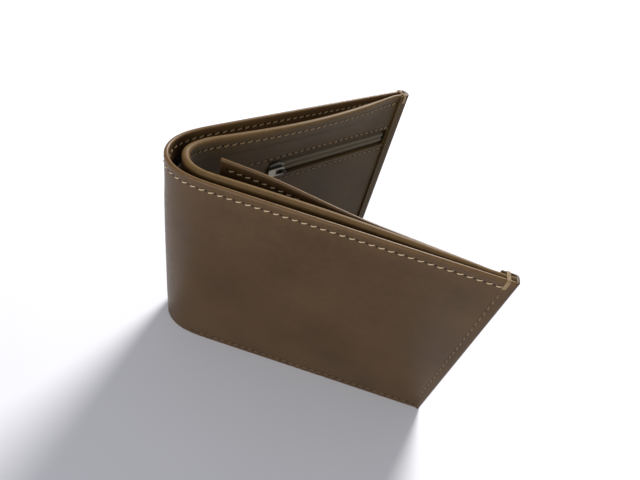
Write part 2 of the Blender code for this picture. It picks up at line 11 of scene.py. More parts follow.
import bmesh
import bpy
import numpy as np
from mathutils import Matrix, Vector


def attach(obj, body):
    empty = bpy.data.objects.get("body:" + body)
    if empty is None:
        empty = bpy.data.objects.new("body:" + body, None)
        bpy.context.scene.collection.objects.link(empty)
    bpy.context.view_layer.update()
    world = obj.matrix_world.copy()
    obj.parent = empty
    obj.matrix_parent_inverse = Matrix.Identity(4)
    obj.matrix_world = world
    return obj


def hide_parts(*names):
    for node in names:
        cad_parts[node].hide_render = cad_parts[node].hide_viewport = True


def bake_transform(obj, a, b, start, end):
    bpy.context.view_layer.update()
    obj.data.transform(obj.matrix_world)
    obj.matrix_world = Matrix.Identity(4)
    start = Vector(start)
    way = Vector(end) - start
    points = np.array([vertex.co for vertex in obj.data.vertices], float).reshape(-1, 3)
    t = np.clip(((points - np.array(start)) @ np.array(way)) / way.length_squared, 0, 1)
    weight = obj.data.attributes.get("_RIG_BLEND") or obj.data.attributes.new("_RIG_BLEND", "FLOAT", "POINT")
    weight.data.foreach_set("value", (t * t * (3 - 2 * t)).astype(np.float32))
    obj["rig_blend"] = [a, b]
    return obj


MM = 0.001

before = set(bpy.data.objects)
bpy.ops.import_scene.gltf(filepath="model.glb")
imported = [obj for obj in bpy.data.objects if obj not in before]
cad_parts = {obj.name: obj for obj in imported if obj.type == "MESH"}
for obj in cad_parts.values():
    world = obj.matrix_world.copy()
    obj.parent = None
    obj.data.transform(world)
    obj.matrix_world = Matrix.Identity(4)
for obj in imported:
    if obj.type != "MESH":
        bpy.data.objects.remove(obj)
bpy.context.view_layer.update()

# ---- dimensions

HEIGHT = 88.0
HALF_LENGTH = 123.5
OPENING = math.radians(49.0)
BEND_REACH = 29.6
SHELL_THICK = 0.9
SHELL_HEM = 1.6
HEM_FOOT = 80.0
LINING_DEPTHS = (0.97, 1.35)
BACK_EDGE_THICK = 5.4
FRONT_EDGE_THICK = 4.6
EDGE_WIDTH = 6.0
EDGE_LEAF = 0.85
DIVIDER_THICK = 0.3
PANEL_THICK = 1.7
PANEL_HEM = 2.6
BACK_SEAM_DEPTH = 3.5
FRONT_SEAM_DEPTH = 2.7
SEAM_STATION = 114.0
ZIP_HEIGHT = 65.9
ZIP_CREST = 65.2
WINDOW_LOW = 61.7
WINDOW_HIGH = 69.7
SLIDER_MIDDLE = 52.6
FLAP_STATION = -113.5
FLAP_DEPTH = 5.4
FLAP_LENGTH = 94.3
FLAP_TOP = 85.8
FLAP_FOOT = 4.0
FLAP_HALF = 0.8
BACK_LEAF_DEPTH = 0.15
WINDOW_SPAN = (16.0, 74.0)
WINDOW_RISE = (24.0, 66.0)

STITCH_PITCH = 3.15
STITCH_RADIUS = 0.18
STITCH_GAP = 0.6
HEM_SEAM = 84.8
PANEL_SEAM = 84.3
FOOT_SEAM = 3.2
FOOT_SEAM_START = 17.0
SIDE_SEAM = 119.7
UPPER_ZIP_SEAM = 71.2
LOWER_ZIP_SEAM = 59.1
ZIP_SEAM_START = 17.0
STRIP_FOOT = HALF_LENGTH - EDGE_WIDTH

# Stations of the fine meshes: a quarter of a stitch apart, so that the stitch holes fall on them
STEP = STITCH_PITCH / 4
# The sheets are cut at SPLIT on both sides of the spine; the outer folds' bends end at FAR
SPLIT = 9 * STEP
FAR = 27 * STEP
# The height at which the depth of a sheet's bend is taken
MID_HEIGHT = 40.0


def stations_between(low, high, step=STEP):
    return np.arange(math.ceil(low / step - 1e-6), math.floor(high / step + 1e-6) + 1) * step


# ---- curves and small functions

CURVE_STEP = 0.25
CURVE_S = np.arange(-HALF_LENGTH, HALF_LENGTH + CURVE_STEP / 2, CURVE_STEP)


def heading(station):
    """Direction of travel along the shell's outside, in radians."""
    u = np.clip(np.asarray(station, float) / BEND_REACH, -1.0, 1.0)
    turned = 0.5 * (u + 1.0) + np.sin(math.pi * u) / (2.0 * math.pi)
    return math.pi - OPENING / 2 - (math.pi - OPENING) * turned


def running_sum(slope, step):
    return np.concatenate(([0.0], np.cumsum((slope[1:] + slope[:-1]) * step / 2)))


CURVE_X = running_sum(np.cos(heading(CURVE_S)), CURVE_STEP)
CURVE_Y = running_sum(np.sin(heading(CURVE_S)), CURVE_STEP)
CURVE_X -= CURVE_X[len(CURVE_X) // 2]
CURVE_Y -= CURVE_Y[len(CURVE_Y) // 2]
CENTRE_X = (CURVE_X[-1] + BACK_EDGE_THICK * math.sin(OPENING / 2)) / 2


def place(station, depth):
    """Plan position on the fold."""
    turn = heading(station)
    x = np.interp(station, CURVE_S, CURVE_X) + depth * np.sin(turn)
    y = np.interp(station, CURVE_S, CURVE_Y) - depth * np.cos(turn)
    return x - CENTRE_X, y


def mix(a, b, share):
    return a + (b - a) * share


def ease(value, low, high):
    t = np.clip((np.asarray(value, float) - low) / (high - low), 0.0, 1.0)
    return t * t * (3.0 - 2.0 * t)


def hump(value, middle, width):
    return np.exp(-((np.asarray(value, float) - middle) / width) ** 2)


def rounding(height, top, radius):
    """How far a face draws in as its rounded edge comes up to top."""
    rise = np.clip((np.asarray(height, float) - top + radius) / radius, 0.0, 1.0)
    return radius * (1.0 - np.sqrt(1.0 - 0.999 * rise * rise))


def arc_levels(top, radius, count=6):
    """Heights that follow a rounded edge evenly up to top."""
    turns = np.linspace(0.0, math.pi / 2, count + 1)
    return list(top - radius + radius * np.sin(turns))


def seam_depth(station):
    return np.where(np.asarray(station) > 0, BACK_SEAM_DEPTH, FRONT_SEAM_DEPTH)


def panel_depth(station, height):
    """Depth of the middle of the inner panel, which bows away from the shell between its seams."""
    reach = np.abs(station)
    back = np.asarray(station) > 0
    at_spine = np.where(back, 7.3, 5.3)
    bow = np.where(back, 3.6, 1.5)
    foot = np.where(back, 73.0, 40.0)
    t = np.clip((height - foot) / (HEIGHT - foot), 0.0, 1.0)
    share = np.clip((reach - 20.0) / (SEAM_STATION - 20.0), 0.0, 1.0)
    swell = bow * np.sin(math.pi * share) * t * t * (3.0 - 2.0 * t)
    slack = mix(at_spine, seam_depth(station), share) + swell
    slack = np.where(reach < 20.0, mix(7.0, at_spine, ease(reach, 0.0, 20.0)), slack)
    pinned = ease(reach, 24.0, 50.0) * (1.0 - ease(height, 4.0, 60.0))
    return mix(slack, seam_depth(station), pinned)


def panel_half(station, height):
    hem = ease(height, HEM_FOOT - 0.6, HEM_FOOT) * (1.0 - ease(np.abs(station), 96.0, 108.0))
    half = mix(PANEL_THICK, PANEL_HEM, hem) / 2
    return half - rounding(height, HEIGHT, half)


def holes(station):
    """1 at each stitch hole and 0 between them, along a seam."""
    return (0.5 + 0.5 * np.cos(2.0 * math.pi * np.asarray(station) / STITCH_PITCH)) ** 4


def pressed(station, height, seam):
    """How far a row of stitches pulls the leather in."""
    return 0.07 * hump(height, seam, 0.9) + 0.2 * hump(height, seam, 0.5) * holes(station)


def pit(station, height, seam):
    """How much painted shade darkens the leather at a row's stitch holes."""
    return hump(height, seam, 0.42) * holes(station)


ZIP_END = place(SEAM_STATION, BACK_SEAM_DEPTH)
ZIP_MARK = place(BEND_REACH + 1.0, panel_depth(BEND_REACH + 1.0, ZIP_HEIGHT))
ZIP_TURN = math.atan2(ZIP_END[1] - ZIP_MARK[1], ZIP_END[0] - ZIP_MARK[0])
ZIP_OUT = (math.sin(ZIP_TURN), -math.cos(ZIP_TURN))


def on_zip(along, out):
    """Plan position on the zip's own straight line; out is towards the inside of the wallet."""
    reach = np.asarray(along) - SEAM_STATION
    return (ZIP_END[0] + reach * math.cos(ZIP_TURN) + out * math.sin(ZIP_TURN),
            ZIP_END[1] + reach * math.sin(ZIP_TURN) - out * math.cos(ZIP_TURN))


FLAP_AXIS = place(FLAP_STATION, FLAP_DEPTH)
FLAP_T = np.arange(0.0, FLAP_LENGTH + 0.5, 1.0)
FLAP_LIFT = 5.6 + 5.6 * ease(FLAP_T, 32.0, 52.0) - 7.2 * ease(FLAP_T, 66.0, 86.0)
FLAP_TURN = math.pi - OPENING / 2 - np.radians(FLAP_LIFT)
FLAP_X = running_sum(np.cos(FLAP_TURN), 1.0)
FLAP_Y = running_sum(np.sin(FLAP_TURN), 1.0)


def on_flap(along, depth):
    turn = np.interp(along, FLAP_T, FLAP_TURN)
    x = FLAP_AXIS[0] + np.interp(along, FLAP_T, FLAP_X) + depth * np.sin(turn)
    y = FLAP_AXIS[1] + np.interp(along, FLAP_T, FLAP_Y) - depth * np.cos(turn)
    return x, y


def on_path(points):
    """A place function along any plan path: the distance along it, and the distance off it to the right."""
    points = np.array(points, float)
    steps = np.linalg.norm(np.diff(points, axis=0), axis=1)
    run = np.concatenate(([0.0], np.cumsum(steps)))
    slope = np.gradient(points, run, axis=0)
    slope /= np.linalg.norm(slope, axis=1)[:, None]

    def where(along, off):
        x, y = (np.interp(along, run, points[:, k]) for k in (0, 1))
        dx, dy = (np.interp(along, run, slope[:, k]) for k in (0, 1))
        return x + off * dy, y - off * dx

    return where, run


# ---- meshes

class Patch:
    """Points (mm), faces and per-point values (u and v along the cloth, wear and painted highlight, painted
    shade at stitch holes, station) of a piece.
    """

    VALUES = ("u", "v", "wear", "pit", "station")

    def __init__(self):
        self.points = np.zeros((0, 3))
        self.faces = []
        self.values = {key: np.zeros(0) for key in self.VALUES}

    def add(self, points, faces, **values):
        base = len(self.points)
        self.points = np.vstack((self.points, points))
        self.faces += [tuple(base + k for k in face) for face in faces]
        for key in self.VALUES:
            given = np.broadcast_to(np.asarray(values.get(key, 0.0), float), (len(points),))
            self.values[key] = np.concatenate((self.values[key], given))


def sheet(stations, levels, near, far, where=place, window=None, wear=None, pits=None):
    """A closed sheet between the depths near(s, z) and far(s, z), with an optional window through it."""
    s, z = np.meshgrid(np.asarray(stations, float), np.asarray(levels, float), indexing="ij")
    rows, columns = s.shape
    patch = Patch()
    for depth in (near(s, z) + 0.0 * s, far(s, z) + 0.0 * s):
        x, y = where(s, depth)
        climbed = np.cumsum(np.hypot(np.diff(z, axis=1), np.diff(depth, axis=1)), axis=1)
        rise = np.concatenate((np.zeros((rows, 1)), climbed), axis=1)
        points = np.stack((x, y, z), -1).reshape(-1, 3)
        worn_and_lit = (wear(s, z) if wear else 0.0) + 0.0 * s
        shaded_holes = (pits(s, z) if pits else 0.0) + 0.0 * s
        patch.add(points, [], u=s.ravel(), v=(rise + levels[0]).ravel(), wear=worn_and_lit.ravel(),
                  pit=shaded_holes.ravel(), station=s.ravel())
    kept = np.ones((rows - 1, columns - 1), bool)
    if window:
        middle_s = (s[1:, 1:] + s[:-1, 1:]) / 2
        middle_z = (z[1:, 1:] + z[1:, :-1]) / 2
        kept = ~((middle_s > window[0]) & (middle_s < window[1])
                 & (middle_z > window[2]) & (middle_z < window[3]))
    shift = rows * columns
    for i, j in zip(*np.nonzero(kept)):
        ring = ((i, j), (i + 1, j), (i + 1, j + 1), (i, j + 1))
        corners = [a * columns + b for a, b in ring]
        patch.faces.append(tuple(corners))
        patch.faces.append(tuple(shift + k for k in reversed(corners)))
        for k, (a, b) in enumerate(((i, j - 1), (i + 1, j), (i, j + 1), (i - 1, j))):
            if 0 <= a < rows - 1 and 0 <= b < columns - 1 and kept[a, b]:
                continue
            p, q = corners[k], corners[(k + 1) % 4]
            patch.faces.append((p, shift + p, shift + q, q))
    return patch


def tube(patch, path, radius, sides=6, u=0.0, station=0.0, flat=1.0, across=None):
    """A closed tube round a path; flat squashes it along the direction across."""
    path = np.asarray(path, float)
    tangent = np.gradient(path, axis=0)
    tangent /= np.linalg.norm(tangent, axis=1)[:, None]
    guide = np.asarray(across if across is not None else (0.0, 0.0, 1.0), float)
    first = guide - (tangent @ guide)[:, None] * tangent
    first /= np.linalg.norm(first, axis=1)[:, None]
    second = np.cross(tangent, first)
    turns = np.linspace(0.0, 2.0 * math.pi, sides, endpoint=False)
    radius = np.broadcast_to(radius, (len(path),))
    ring = (path[:, None] + radius[:, None, None]
            * (flat * np.cos(turns)[None, :, None] * first[:, None]
               + np.sin(turns)[None, :, None] * second[:, None]))
    run = np.concatenate(([0.0], np.cumsum(np.linalg.norm(np.diff(path, axis=0), axis=1))))
    faces = []
    for i in range(len(path) - 1):
        for k in range(sides):
            n = (k + 1) % sides
            faces.append((i * sides + k, i * sides + n, (i + 1) * sides + n, (i + 1) * sides + k))
    faces.append(tuple(range(sides))[::-1])
    faces.append(tuple((len(path) - 1) * sides + k for k in range(sides)))
    patch.add(ring.reshape(-1, 3), faces, u=np.repeat(u + run, sides),
              v=np.tile(turns * float(radius.mean()), len(path)), station=station)


FRONT_WAY = np.array((math.cos(OPENING / 2), -math.sin(OPENING / 2), 0.0))
FRONT_FLARE = (0.9, 1.7)
SMOOTH_ANGLE = math.radians(50.0)


def flared(points):
    """The front half draws out a little towards its outer edge, most at its top."""
    reach = ease(points @ FRONT_WAY, 0.0, 70.0) * (points[:, 1] < 0.0)
    return points + (reach * mix(*FRONT_FLARE, points[:, 2] / HEIGHT))[:, None] * FRONT_WAY


def put(name, data):
    """A new object in the scene."""
    made = bpy.data.objects.new(name, data)
    bpy.context.scene.collection.objects.link(made)
    return made


def fetch(items, name, width=1, kind=np.float32):
    """One property of all of a mesh's items, as rows of the given width."""
    values = np.zeros(len(items) * width, kind)
    items.foreach_get(name, values)
    return values.reshape(-1, width) if width > 1 else values


def read(mesh, key):
    return fetch(mesh.attributes[key].data, "value")


def paint(mesh, values):
    for key in Patch.VALUES:
        layer = mesh.attributes.new(key, "FLOAT", "POINT")
        layer.data.foreach_set("value", values[key].astype(np.float32))


def build(name, patch, rim=None):
    """A mesh in metres with its painted values; rim(mesh) may round its edges."""
    mesh = bpy.data.meshes.new(name)
    mesh.from_pydata((flared(patch.points) * MM).tolist(), [], patch.faces)
    paint(mesh, patch.values)
    bm = bmesh.new()
    bm.from_mesh(mesh)
    bmesh.ops.remove_doubles(bm, verts=bm.verts, dist=1e-7)
    bmesh.ops.recalc_face_normals(bm, faces=bm.faces)
    if rim:
        rim(bm)
    bm.to_mesh(mesh)
    bm.free()
    mesh.shade_smooth()
    mesh.set_sharp_from_angle(angle=SMOOTH_ANGLE)
    write_uv(mesh)
    return put(name, mesh)


def write_uv(mesh):
    """The map "dev": the distance along a sheet and up it, in metres."""
    corner = fetch(mesh.loops, "vertex_index", kind=np.int32)
    pairs = np.stack((read(mesh, "u")[corner], read(mesh, "v")[corner]), -1) * MM
    layer = mesh.uv_layers.new(name="dev")
    layer.data.foreach_set("uv", pairs.astype(np.float32).ravel())


def open_rings(faces):
    """The rings of points round the open ends of a cut sheet, in the order of the faces that close them."""
    ways = {(a, b) for face in faces for a, b in zip(face, face[1:] + face[:1])}
    following = {b: a for a, b in ways if (b, a) not in ways}
    rings = []
    while following:
        start, point = next(iter(following.items()))
        ring = [start]
        del following[start]
        while point != start:
            ring.append(point)
            point = following.pop(point)
        rings.append(ring)
    return rings


def cut(whole, name, low, high):
    """A copy of the faces whose stations lie between low and high, with the whole mesh's normals."""
    mesh = whole.data
    start, total = (fetch(mesh.polygons, key, kind=np.int32) for key in ("loop_start", "loop_total"))
    corner = fetch(mesh.loops, "vertex_index", kind=np.int32)
    normal = fetch(mesh.corner_normals, "vector", 3)
    points = fetch(mesh.vertices, "co", 3)
    station = read(mesh, "station")
    faces, normals, used = [], [], {}
    for first, size in zip(start, total):
        ring = corner[first:first + size]
        if low < station[ring].mean() < high:
            faces.append([used.setdefault(int(k), len(used)) for k in ring])
            normals.extend(normal[first:first + size].tolist())
    order = np.array(list(used), int)
    for ring in open_rings(faces):
        corners = points[order[ring]]
        away = np.cross(corners, np.roll(corners, -1, axis=0)).sum(axis=0)
        away = away / max(float(np.linalg.norm(away)), 1e-12)
        faces.append(ring)
        normals.extend([away.tolist()] * len(ring))
    piece = bpy.data.meshes.new(name)
    piece.from_pydata(points[order].tolist(), [], faces)
    paint(piece, {key: read(mesh, key)[order] for key in Patch.VALUES})
    piece.shade_smooth()
    piece.normals_split_custom_set(normals)
    write_uv(piece)
    return put(name, piece)


def finish_piece(piece, look):
    """Removes the values that only the mesh building needs, and gives the piece its look."""
    for key in ("u", "v", "station"):
        piece.data.attributes.remove(piece.data.attributes[key])
    piece.data.materials.append(look)


BEYOND = 1000.0
ZONES = (
    ("back", SPLIT, BEYOND, ("back_half", "spine_back"), FAR, SPLIT),
    ("spine", -SPLIT, SPLIT, ("spine_back", "spine_front"), SPLIT, -SPLIT),
    ("front", -BEYOND, -SPLIT, ("spine_front", "front_half"), -SPLIT, -FAR),
)


def across_spine(name, patch, look, depth, stands_for, rim=None):
    """Cuts a sheet that crosses the spine into three pieces, and makes each bend with its fold."""
    whole = build(name, patch, rim)
    pieces = {}
    for zone, low, high, bodies, start, end in ZONES:
        piece = cut(whole, f"{name}_{zone}", low, high)
        finish_piece(piece, look)
        ends = [Vector((*place(s, depth), HEIGHT / 2)) * MM for s in (start, end)]
        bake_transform(piece, *bodies, *ends)
        if stands_for.get(zone):
            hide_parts(*stands_for[zone])
        pieces[zone] = piece
    bpy.data.objects.remove(whole)
    return pieces


def carried(name, patch, body, look, slot, *nodes, rim=None):
    """One rigid piece that rides on a body and stands for CAD nodes."""
    piece = build(name, patch, rim)
    finish_piece(piece, look)
    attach(piece, body)
    if nodes:
        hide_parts(*nodes)
    return piece


# ---- materials

class Nodes:
    """Short names for making a node tree."""

    def __init__(self, name):
        self.material = bpy.data.materials.new(name)
        self.material.use_nodes = True
        self.tree = self.material.node_tree
        self.shader = self.tree.nodes["Principled BSDF"]

    def add(self, kind, settings=None, **links):
        node = self.tree.nodes.new(f"ShaderNode{kind}")
        for key, value in (settings or {}).items():
            setattr(node, key, value)
        for key, value in links.items():
            self.set(node, key, value)
        return node

    def set(self, node, key, value):
        key = int(key[1:]) if key[0] == "_" else key.replace("_", " ")
        socket = node.inputs[key]
        if isinstance(value, bpy.types.NodeSocket):
            self.tree.links.new(value, socket)
        else:
            socket.default_value = value

    def uv(self, scale):
        """Cloth coordinates in units of 1 / scale metres."""
        source = self.add("UVMap", {"uv_map": "dev"})
        return self.add("Mapping", Vector=source.outputs[0], Scale=scale).outputs[0]

    def noise(self, vector, scale, detail=4.0, roughness=0.55):
        node = self.add("TexNoise", Vector=vector, Scale=scale, Detail=detail, Roughness=roughness)
        return node.outputs[0]

    def attribute(self, name):
        return self.add("Attribute", {"attribute_name": name}).outputs["Fac"]

    def math(self, operation, a, b=0.0):
        return self.add("Math", {"operation": operation}, _0=a, _1=b).outputs[0]

    def ramp(self, value, low, high, low_to=0.0, high_to=1.0):
        node = self.add("MapRange", {"clamp": True}, _0=value, _1=low, _2=high, _3=low_to, _4=high_to)
        return node.outputs[0]

    def blend(self, share, a, b, kind="MIX"):
        node = self.add("Mix", {"data_type": "RGBA", "blend_type": kind}, _0=share, _6=a, _7=b)
        return node.outputs[2]

    def bump(self, height, strength, distance, before=None):
        links = {"Height": height, "Strength": strength, "Distance": distance * MM}
        if before is not None:
            links["Normal"] = before
        return self.add("Bump", None, **links).outputs[0]

    def finish(self, **sockets):
        for key, value in sockets.items():
            self.set(self.shader, key, value)
        return self.material


PER_MM = (1000.0, 1000.0, 1000.0)


def srgb(red, green, blue):
    """Linear colour from display values of 0 to 255."""
    return tuple(((c / 255 + 0.055) / 1.055) ** 2.4 for c in (red, green, blue)) + (1.0,)


def leather(name, dark, light, worn_and_lit, roughness, gloss=0.24):
    n = Nodes(name)
    at = n.uv(PER_MM)
    cloud = n.noise(at, 0.035, 3.0)
    mottle = n.noise(at, 0.45, 5.0, 0.65)
    fine = n.noise(at, 5.5, 3.0)
    pores = n.add("TexVoronoi", {"feature": "DISTANCE_TO_EDGE"}, Vector=at, Scale=2.6).outputs[0]
    clouds = n.math("ADD", n.math("MULTIPLY", cloud, 0.65), n.math("MULTIPLY", mottle, 0.35))
    tone = n.ramp(clouds, 0.36, 0.64)
    colour = n.blend(tone, dark, light)
    speck = n.ramp(fine, 0.35, 0.7, 0.9, 1.06)
    colour = n.blend(1.0, colour, n.add("CombineColor", _0=speck, _1=speck, _2=speck).outputs[0], "MULTIPLY")
    # the worn colour: wear, and painted highlight where rims and edges catch the light
    rubbed_and_lit = n.math("MULTIPLY", n.attribute("wear"), n.ramp(mottle, 0.3, 0.62, 0.55, 1.0))
    colour = n.blend(rubbed_and_lit, colour, worn_and_lit)
    # painted shade: the leather darkens almost to black at the stitch holes
    colour = n.blend(n.ramp(n.attribute("pit"), 0.12, 0.7, 0.0, 0.88), colour, srgb(22, 14, 9))
    crease = n.ramp(pores, 0.0, 0.12)
    rough = n.math("ADD", n.ramp(mottle, 0.3, 0.7, roughness - 0.06, roughness + 0.07),
                   n.math("MULTIPLY", rubbed_and_lit, -0.05))
    normal = n.bump(mottle, 0.25, 0.12)
    normal = n.bump(crease, 0.28, 0.03, normal)
    normal = n.bump(fine, 0.25, 0.02, normal)
    return n.finish(Base_Color=colour, Roughness=rough, Normal=normal, Specular_IOR_Level=gloss)


def woven(name, dark, light, pitch, roughness=0.85):
    """Plain weave: threads of two directions that pass over and under each other."""
    n = Nodes(name)
    at = n.uv(tuple(c / pitch for c in PER_MM))
    parts = n.add("SeparateXYZ", Vector=at).outputs
    warp = n.math("ABSOLUTE", n.math("SINE", n.math("MULTIPLY", parts[0], math.pi)))
    weft = n.math("ABSOLUTE", n.math("SINE", n.math("MULTIPLY", parts[1], math.pi)))
    check = n.add("TexChecker", Vector=at, Scale=1.0).outputs[1]
    cloth = n.add("Mix", {"data_type": "FLOAT"}, _0=check, _2=warp, _3=weft).outputs[0]
    blotch = n.noise(n.uv(PER_MM), 0.12, 3.0)
    fuzz = n.noise(n.uv(PER_MM), 7.0, 2.0)
    tone = n.math("ADD", n.math("MULTIPLY", cloth, 0.6), n.math("MULTIPLY", blotch, 0.5))
    colour = n.blend(n.ramp(tone, 0.15, 0.95), dark, light)
    normal = n.bump(fuzz, 0.3, 0.03, n.bump(cloth, 0.7, 0.12))
    rough = n.ramp(fuzz, 0.3, 0.7, roughness - 0.07, roughness + 0.07)
    return n.finish(Base_Color=colour, Roughness=rough, Normal=normal, Sheen_Weight=0.08,
                    Sheen_Roughness=0.5, Specular_IOR_Level=0.15)


def twisted(name, dark, light):
    """Thread: strands that wind round it."""
    n = Nodes(name)
    parts = n.add("SeparateXYZ", Vector=n.uv(PER_MM)).outputs
    slant = n.math("ADD", n.math("MULTIPLY", parts[0], 9.5), n.math("MULTIPLY", parts[1], 7.4))
    strand = n.math("ABSOLUTE", n.math("SINE", slant))
    fuzz = n.noise(n.uv(PER_MM), 4.0, 3.0)
    tone = n.math("ADD", n.math("MULTIPLY", strand, 0.6), n.math("MULTIPLY", fuzz, 0.5))
    colour = n.blend(n.ramp(tone, 0.2, 0.9), dark, light)
    return n.finish(Base_Color=colour, Roughness=n.ramp(fuzz, 0.3, 0.7, 0.55, 0.75),
                    Normal=n.bump(strand, 0.6, 0.06), Sheen_Weight=0.2, Specular_IOR_Level=0.3)


def plated(name, dark, light, roughness):
    """Plated metal with fine scratches and duller patches."""
    n = Nodes(name)
    brushed = n.noise(n.uv((1000.0, 9000.0, 1000.0)), 1.4, 4.0)
    patches = n.noise(n.uv(PER_MM), 0.6, 3.0)
    colour = n.blend(n.ramp(patches, 0.35, 0.65), dark, light)
    # rounded edges lighter: wear and painted highlight
    colour = n.blend(n.math("MULTIPLY", n.attribute("wear"), 0.6), colour, srgb(170, 165, 152))
    rough = n.math("ADD", n.ramp(brushed, 0.3, 0.7, roughness - 0.08, roughness + 0.08),
                   n.ramp(patches, 0.3, 0.7, -0.05, 0.05))
    return n.finish(Base_Color=colour, Roughness=rough, Normal=n.bump(brushed, 0.12, 0.02), Metallic=0.85)


def coil_plastic(name):
    n = Nodes(name)
    fine = n.noise(n.uv(PER_MM), 3.0, 3.0)
    colour = n.blend(n.ramp(fine, 0.3, 0.7), srgb(62, 54, 44), srgb(88, 78, 64))
    return n.finish(Base_Color=colour, Roughness=n.ramp(fine, 0.3, 0.7, 0.35, 0.5),
                    Normal=n.bump(fine, 0.15, 0.03))


def clear_film(name):
    n = Nodes(name)
    wave = n.noise(n.uv(PER_MM), 0.07, 3.0)
    smear = n.noise(n.uv(PER_MM), 0.4, 5.0)
    return n.finish(Base_Color=srgb(225, 222, 214), Roughness=n.ramp(smear, 0.3, 0.7, 0.06, 0.2),
                    Normal=n.bump(wave, 0.4, 1.2), Transmission_Weight=0.88, IOR=1.45)


def paper_floor(name):
    n = Nodes(name)
    at = n.add("TexCoord").outputs["Object"]
    wide = n.noise(at, 6.0, 3.0)
    fine = n.noise(at, 900.0, 3.0)
    colour = n.blend(n.ramp(wide, 0.35, 0.65), (0.79, 0.795, 0.835, 1.0), (0.82, 0.825, 0.86, 1.0))
    return n.finish(Base_Color=colour, Roughness=0.9, Normal=n.bump(fine, 0.08, 0.1), Specular_IOR_Level=0.2)


# Each leather's third colour is its lighter worn colour, which is also painted highlight on rims and edges.
OUTER = leather("outer_leather", srgb(71, 52, 32), srgb(85, 64, 40), srgb(108, 82, 51), 0.42)
INNER = leather("inner_leather", srgb(67, 52, 29), srgb(81, 63, 36), srgb(110, 86, 54), 0.5, 0.13)
CLOTH = woven("lining_cloth", srgb(50, 37, 26), srgb(74, 56, 41), 0.32)
TAPE = woven("zip_tape_cloth", srgb(78, 69, 54), srgb(112, 101, 81), 0.55, 0.8)
THREAD = twisted("beige_thread", srgb(178, 154, 118), srgb(226, 206, 170))
TAN_THREAD = twisted("tan_thread", srgb(120, 98, 68), srgb(166, 140, 102))
DULL_THREAD = twisted("brown_thread", srgb(92, 72, 48), srgb(134, 108, 76))
COIL = coil_plastic("zip_coil_plastic")
METAL = plated("zip_metal", srgb(132, 126, 113), srgb(156, 150, 137), 0.5)
# Painted shade: the slider is a darker copy of the pull's metal, for the shade it lies in.
SHADED_METAL = plated("slider_metal_painted_shade", srgb(66, 60, 50), srgb(88, 81, 69), 0.48)
FILM = clear_film("window_film")
FLOOR = paper_floor("pale_floor")

# ---- shell

SEAM_ROWS = np.array((-1.4, -0.8, -0.4, 0.0, 0.4, 0.8))
FINE_HEM = list(HEM_SEAM + SEAM_ROWS)
FINE_FOOT = [1.2, 2.2, FOOT_SEAM - 0.4, FOOT_SEAM, FOOT_SEAM + 0.4, 4.4]
HEM_STEP = [HEM_FOOT - 0.7, HEM_FOOT, HEM_FOOT + 0.15, HEM_FOOT + 0.4]


def swelling(s, z):
    """The leather's slow unevenness, which never goes inside its flat place."""
    calm = ease(z, 4.0, 18.0) * (1.0 - ease(z, 66.0, 80.0)) * (1.0 - ease(np.abs(s), 100.0, 117.0))
    wide = 0.13 * np.sin(s / 17.0 + 0.8) * np.sin(z / 19.0)
    return -calm * (0.22 + wide + 0.09 * np.sin(s / 9.0 - z / 13.0))


def side_holes(s, z):
    """A seam that runs up the sheet beside each outer edge."""
    return ((z > 5.0) & (z < HEM_SEAM)) * hump(np.abs(s), SIDE_SEAM, 0.55) * holes(z)


def shell_near(s, z):
    edge = 0.35 * (1.0 - ease(z, 0.0, 0.9))
    foot = pressed(s, z, FOOT_SEAM) * (np.abs(s) > FOOT_SEAM_START)
    side = 0.16 * side_holes(s, z) + 0.05 * hump(np.abs(s), SIDE_SEAM, 0.9)
    puff = -0.07 * hump(z, HEM_SEAM + 1.6, 0.9)
    hem = rounding(z, HEIGHT, SHELL_HEM / 2) + pressed(s, z, HEM_SEAM) + puff
    return hem + edge + foot + side + swelling(s, z)


def shell_far(s, z):
    hem = mix(SHELL_THICK, SHELL_HEM, ease(z, HEM_FOOT, HEM_FOOT + 0.4))
    return hem - rounding(z, HEIGHT, SHELL_HEM / 2) - 0.8 * pressed(s, z, HEM_SEAM) + swelling(s, z)


# Painted shade at the shell's stitch holes, in its top, foot and side seams.
def shell_pits(s, z):
    foot = pit(s, z, FOOT_SEAM) * (np.abs(s) > FOOT_SEAM_START)
    return pit(s, z, HEM_SEAM) + foot + 0.45 * side_holes(s, z)


# Painted highlight on the top rim and a lighter band under it, where the top light falls; the bottom edge is
# lighter too.
def shell_wear(s, z):
    return ease(z, HEIGHT - 1.1, HEIGHT - 0.1) + 0.5 * (1.0 - ease(z, 0.2, 1.2)) + 0.25 * ease(z, 78.0, 87.0)


SHELL_END = 122.6
LONG_STATIONS = stations_between(-SHELL_END, SHELL_END)
SHELL_LEVELS = ([0.0, 0.5] + FINE_FOOT + list(stations_between(6.0, 79.0, STITCH_PITCH / 2)) + HEM_STEP
                + FINE_HEM + [86.4] + arc_levels(HEIGHT, SHELL_HEM / 2, 7))


def zone_nodes(start):
    """The CAD nodes that each zone's piece of a sheet stands for."""
    return {"back": [f"{start}_back"], "spine": [f"{start}_spine_back", f"{start}_spine_front"],
            "front": [f"{start}_front"]}


shell = sheet(LONG_STATIONS, SHELL_LEVELS, shell_near, shell_far, wear=shell_wear, pits=shell_pits)
across_spine("shell_leather", shell, OUTER, 0.5, zone_nodes("shell"))

# ---- lining and divider

LINING_END = 121.3
COARSE_STATIONS = stations_between(-LINING_END, LINING_END, STEP * 2)
LINING_TOP = 79.3
LINING_LEVELS = [1.2, 1.4, 4.0, 10.0, 20.0, 30.0, 40.0, 50.0, 60.0, 70.0, 78.0, 79.1, LINING_TOP]


lining_sheet = sheet(COARSE_STATIONS, LINING_LEVELS,
                     lambda s, z: LINING_DEPTHS[0] + rounding(z, LINING_TOP, 0.15),
                     lambda s, z: LINING_DEPTHS[1] - rounding(z, LINING_TOP, 0.15))
lining = across_spine("lining_cloth", lining_sheet, CLOTH, 1.1, zone_nodes("lining"))

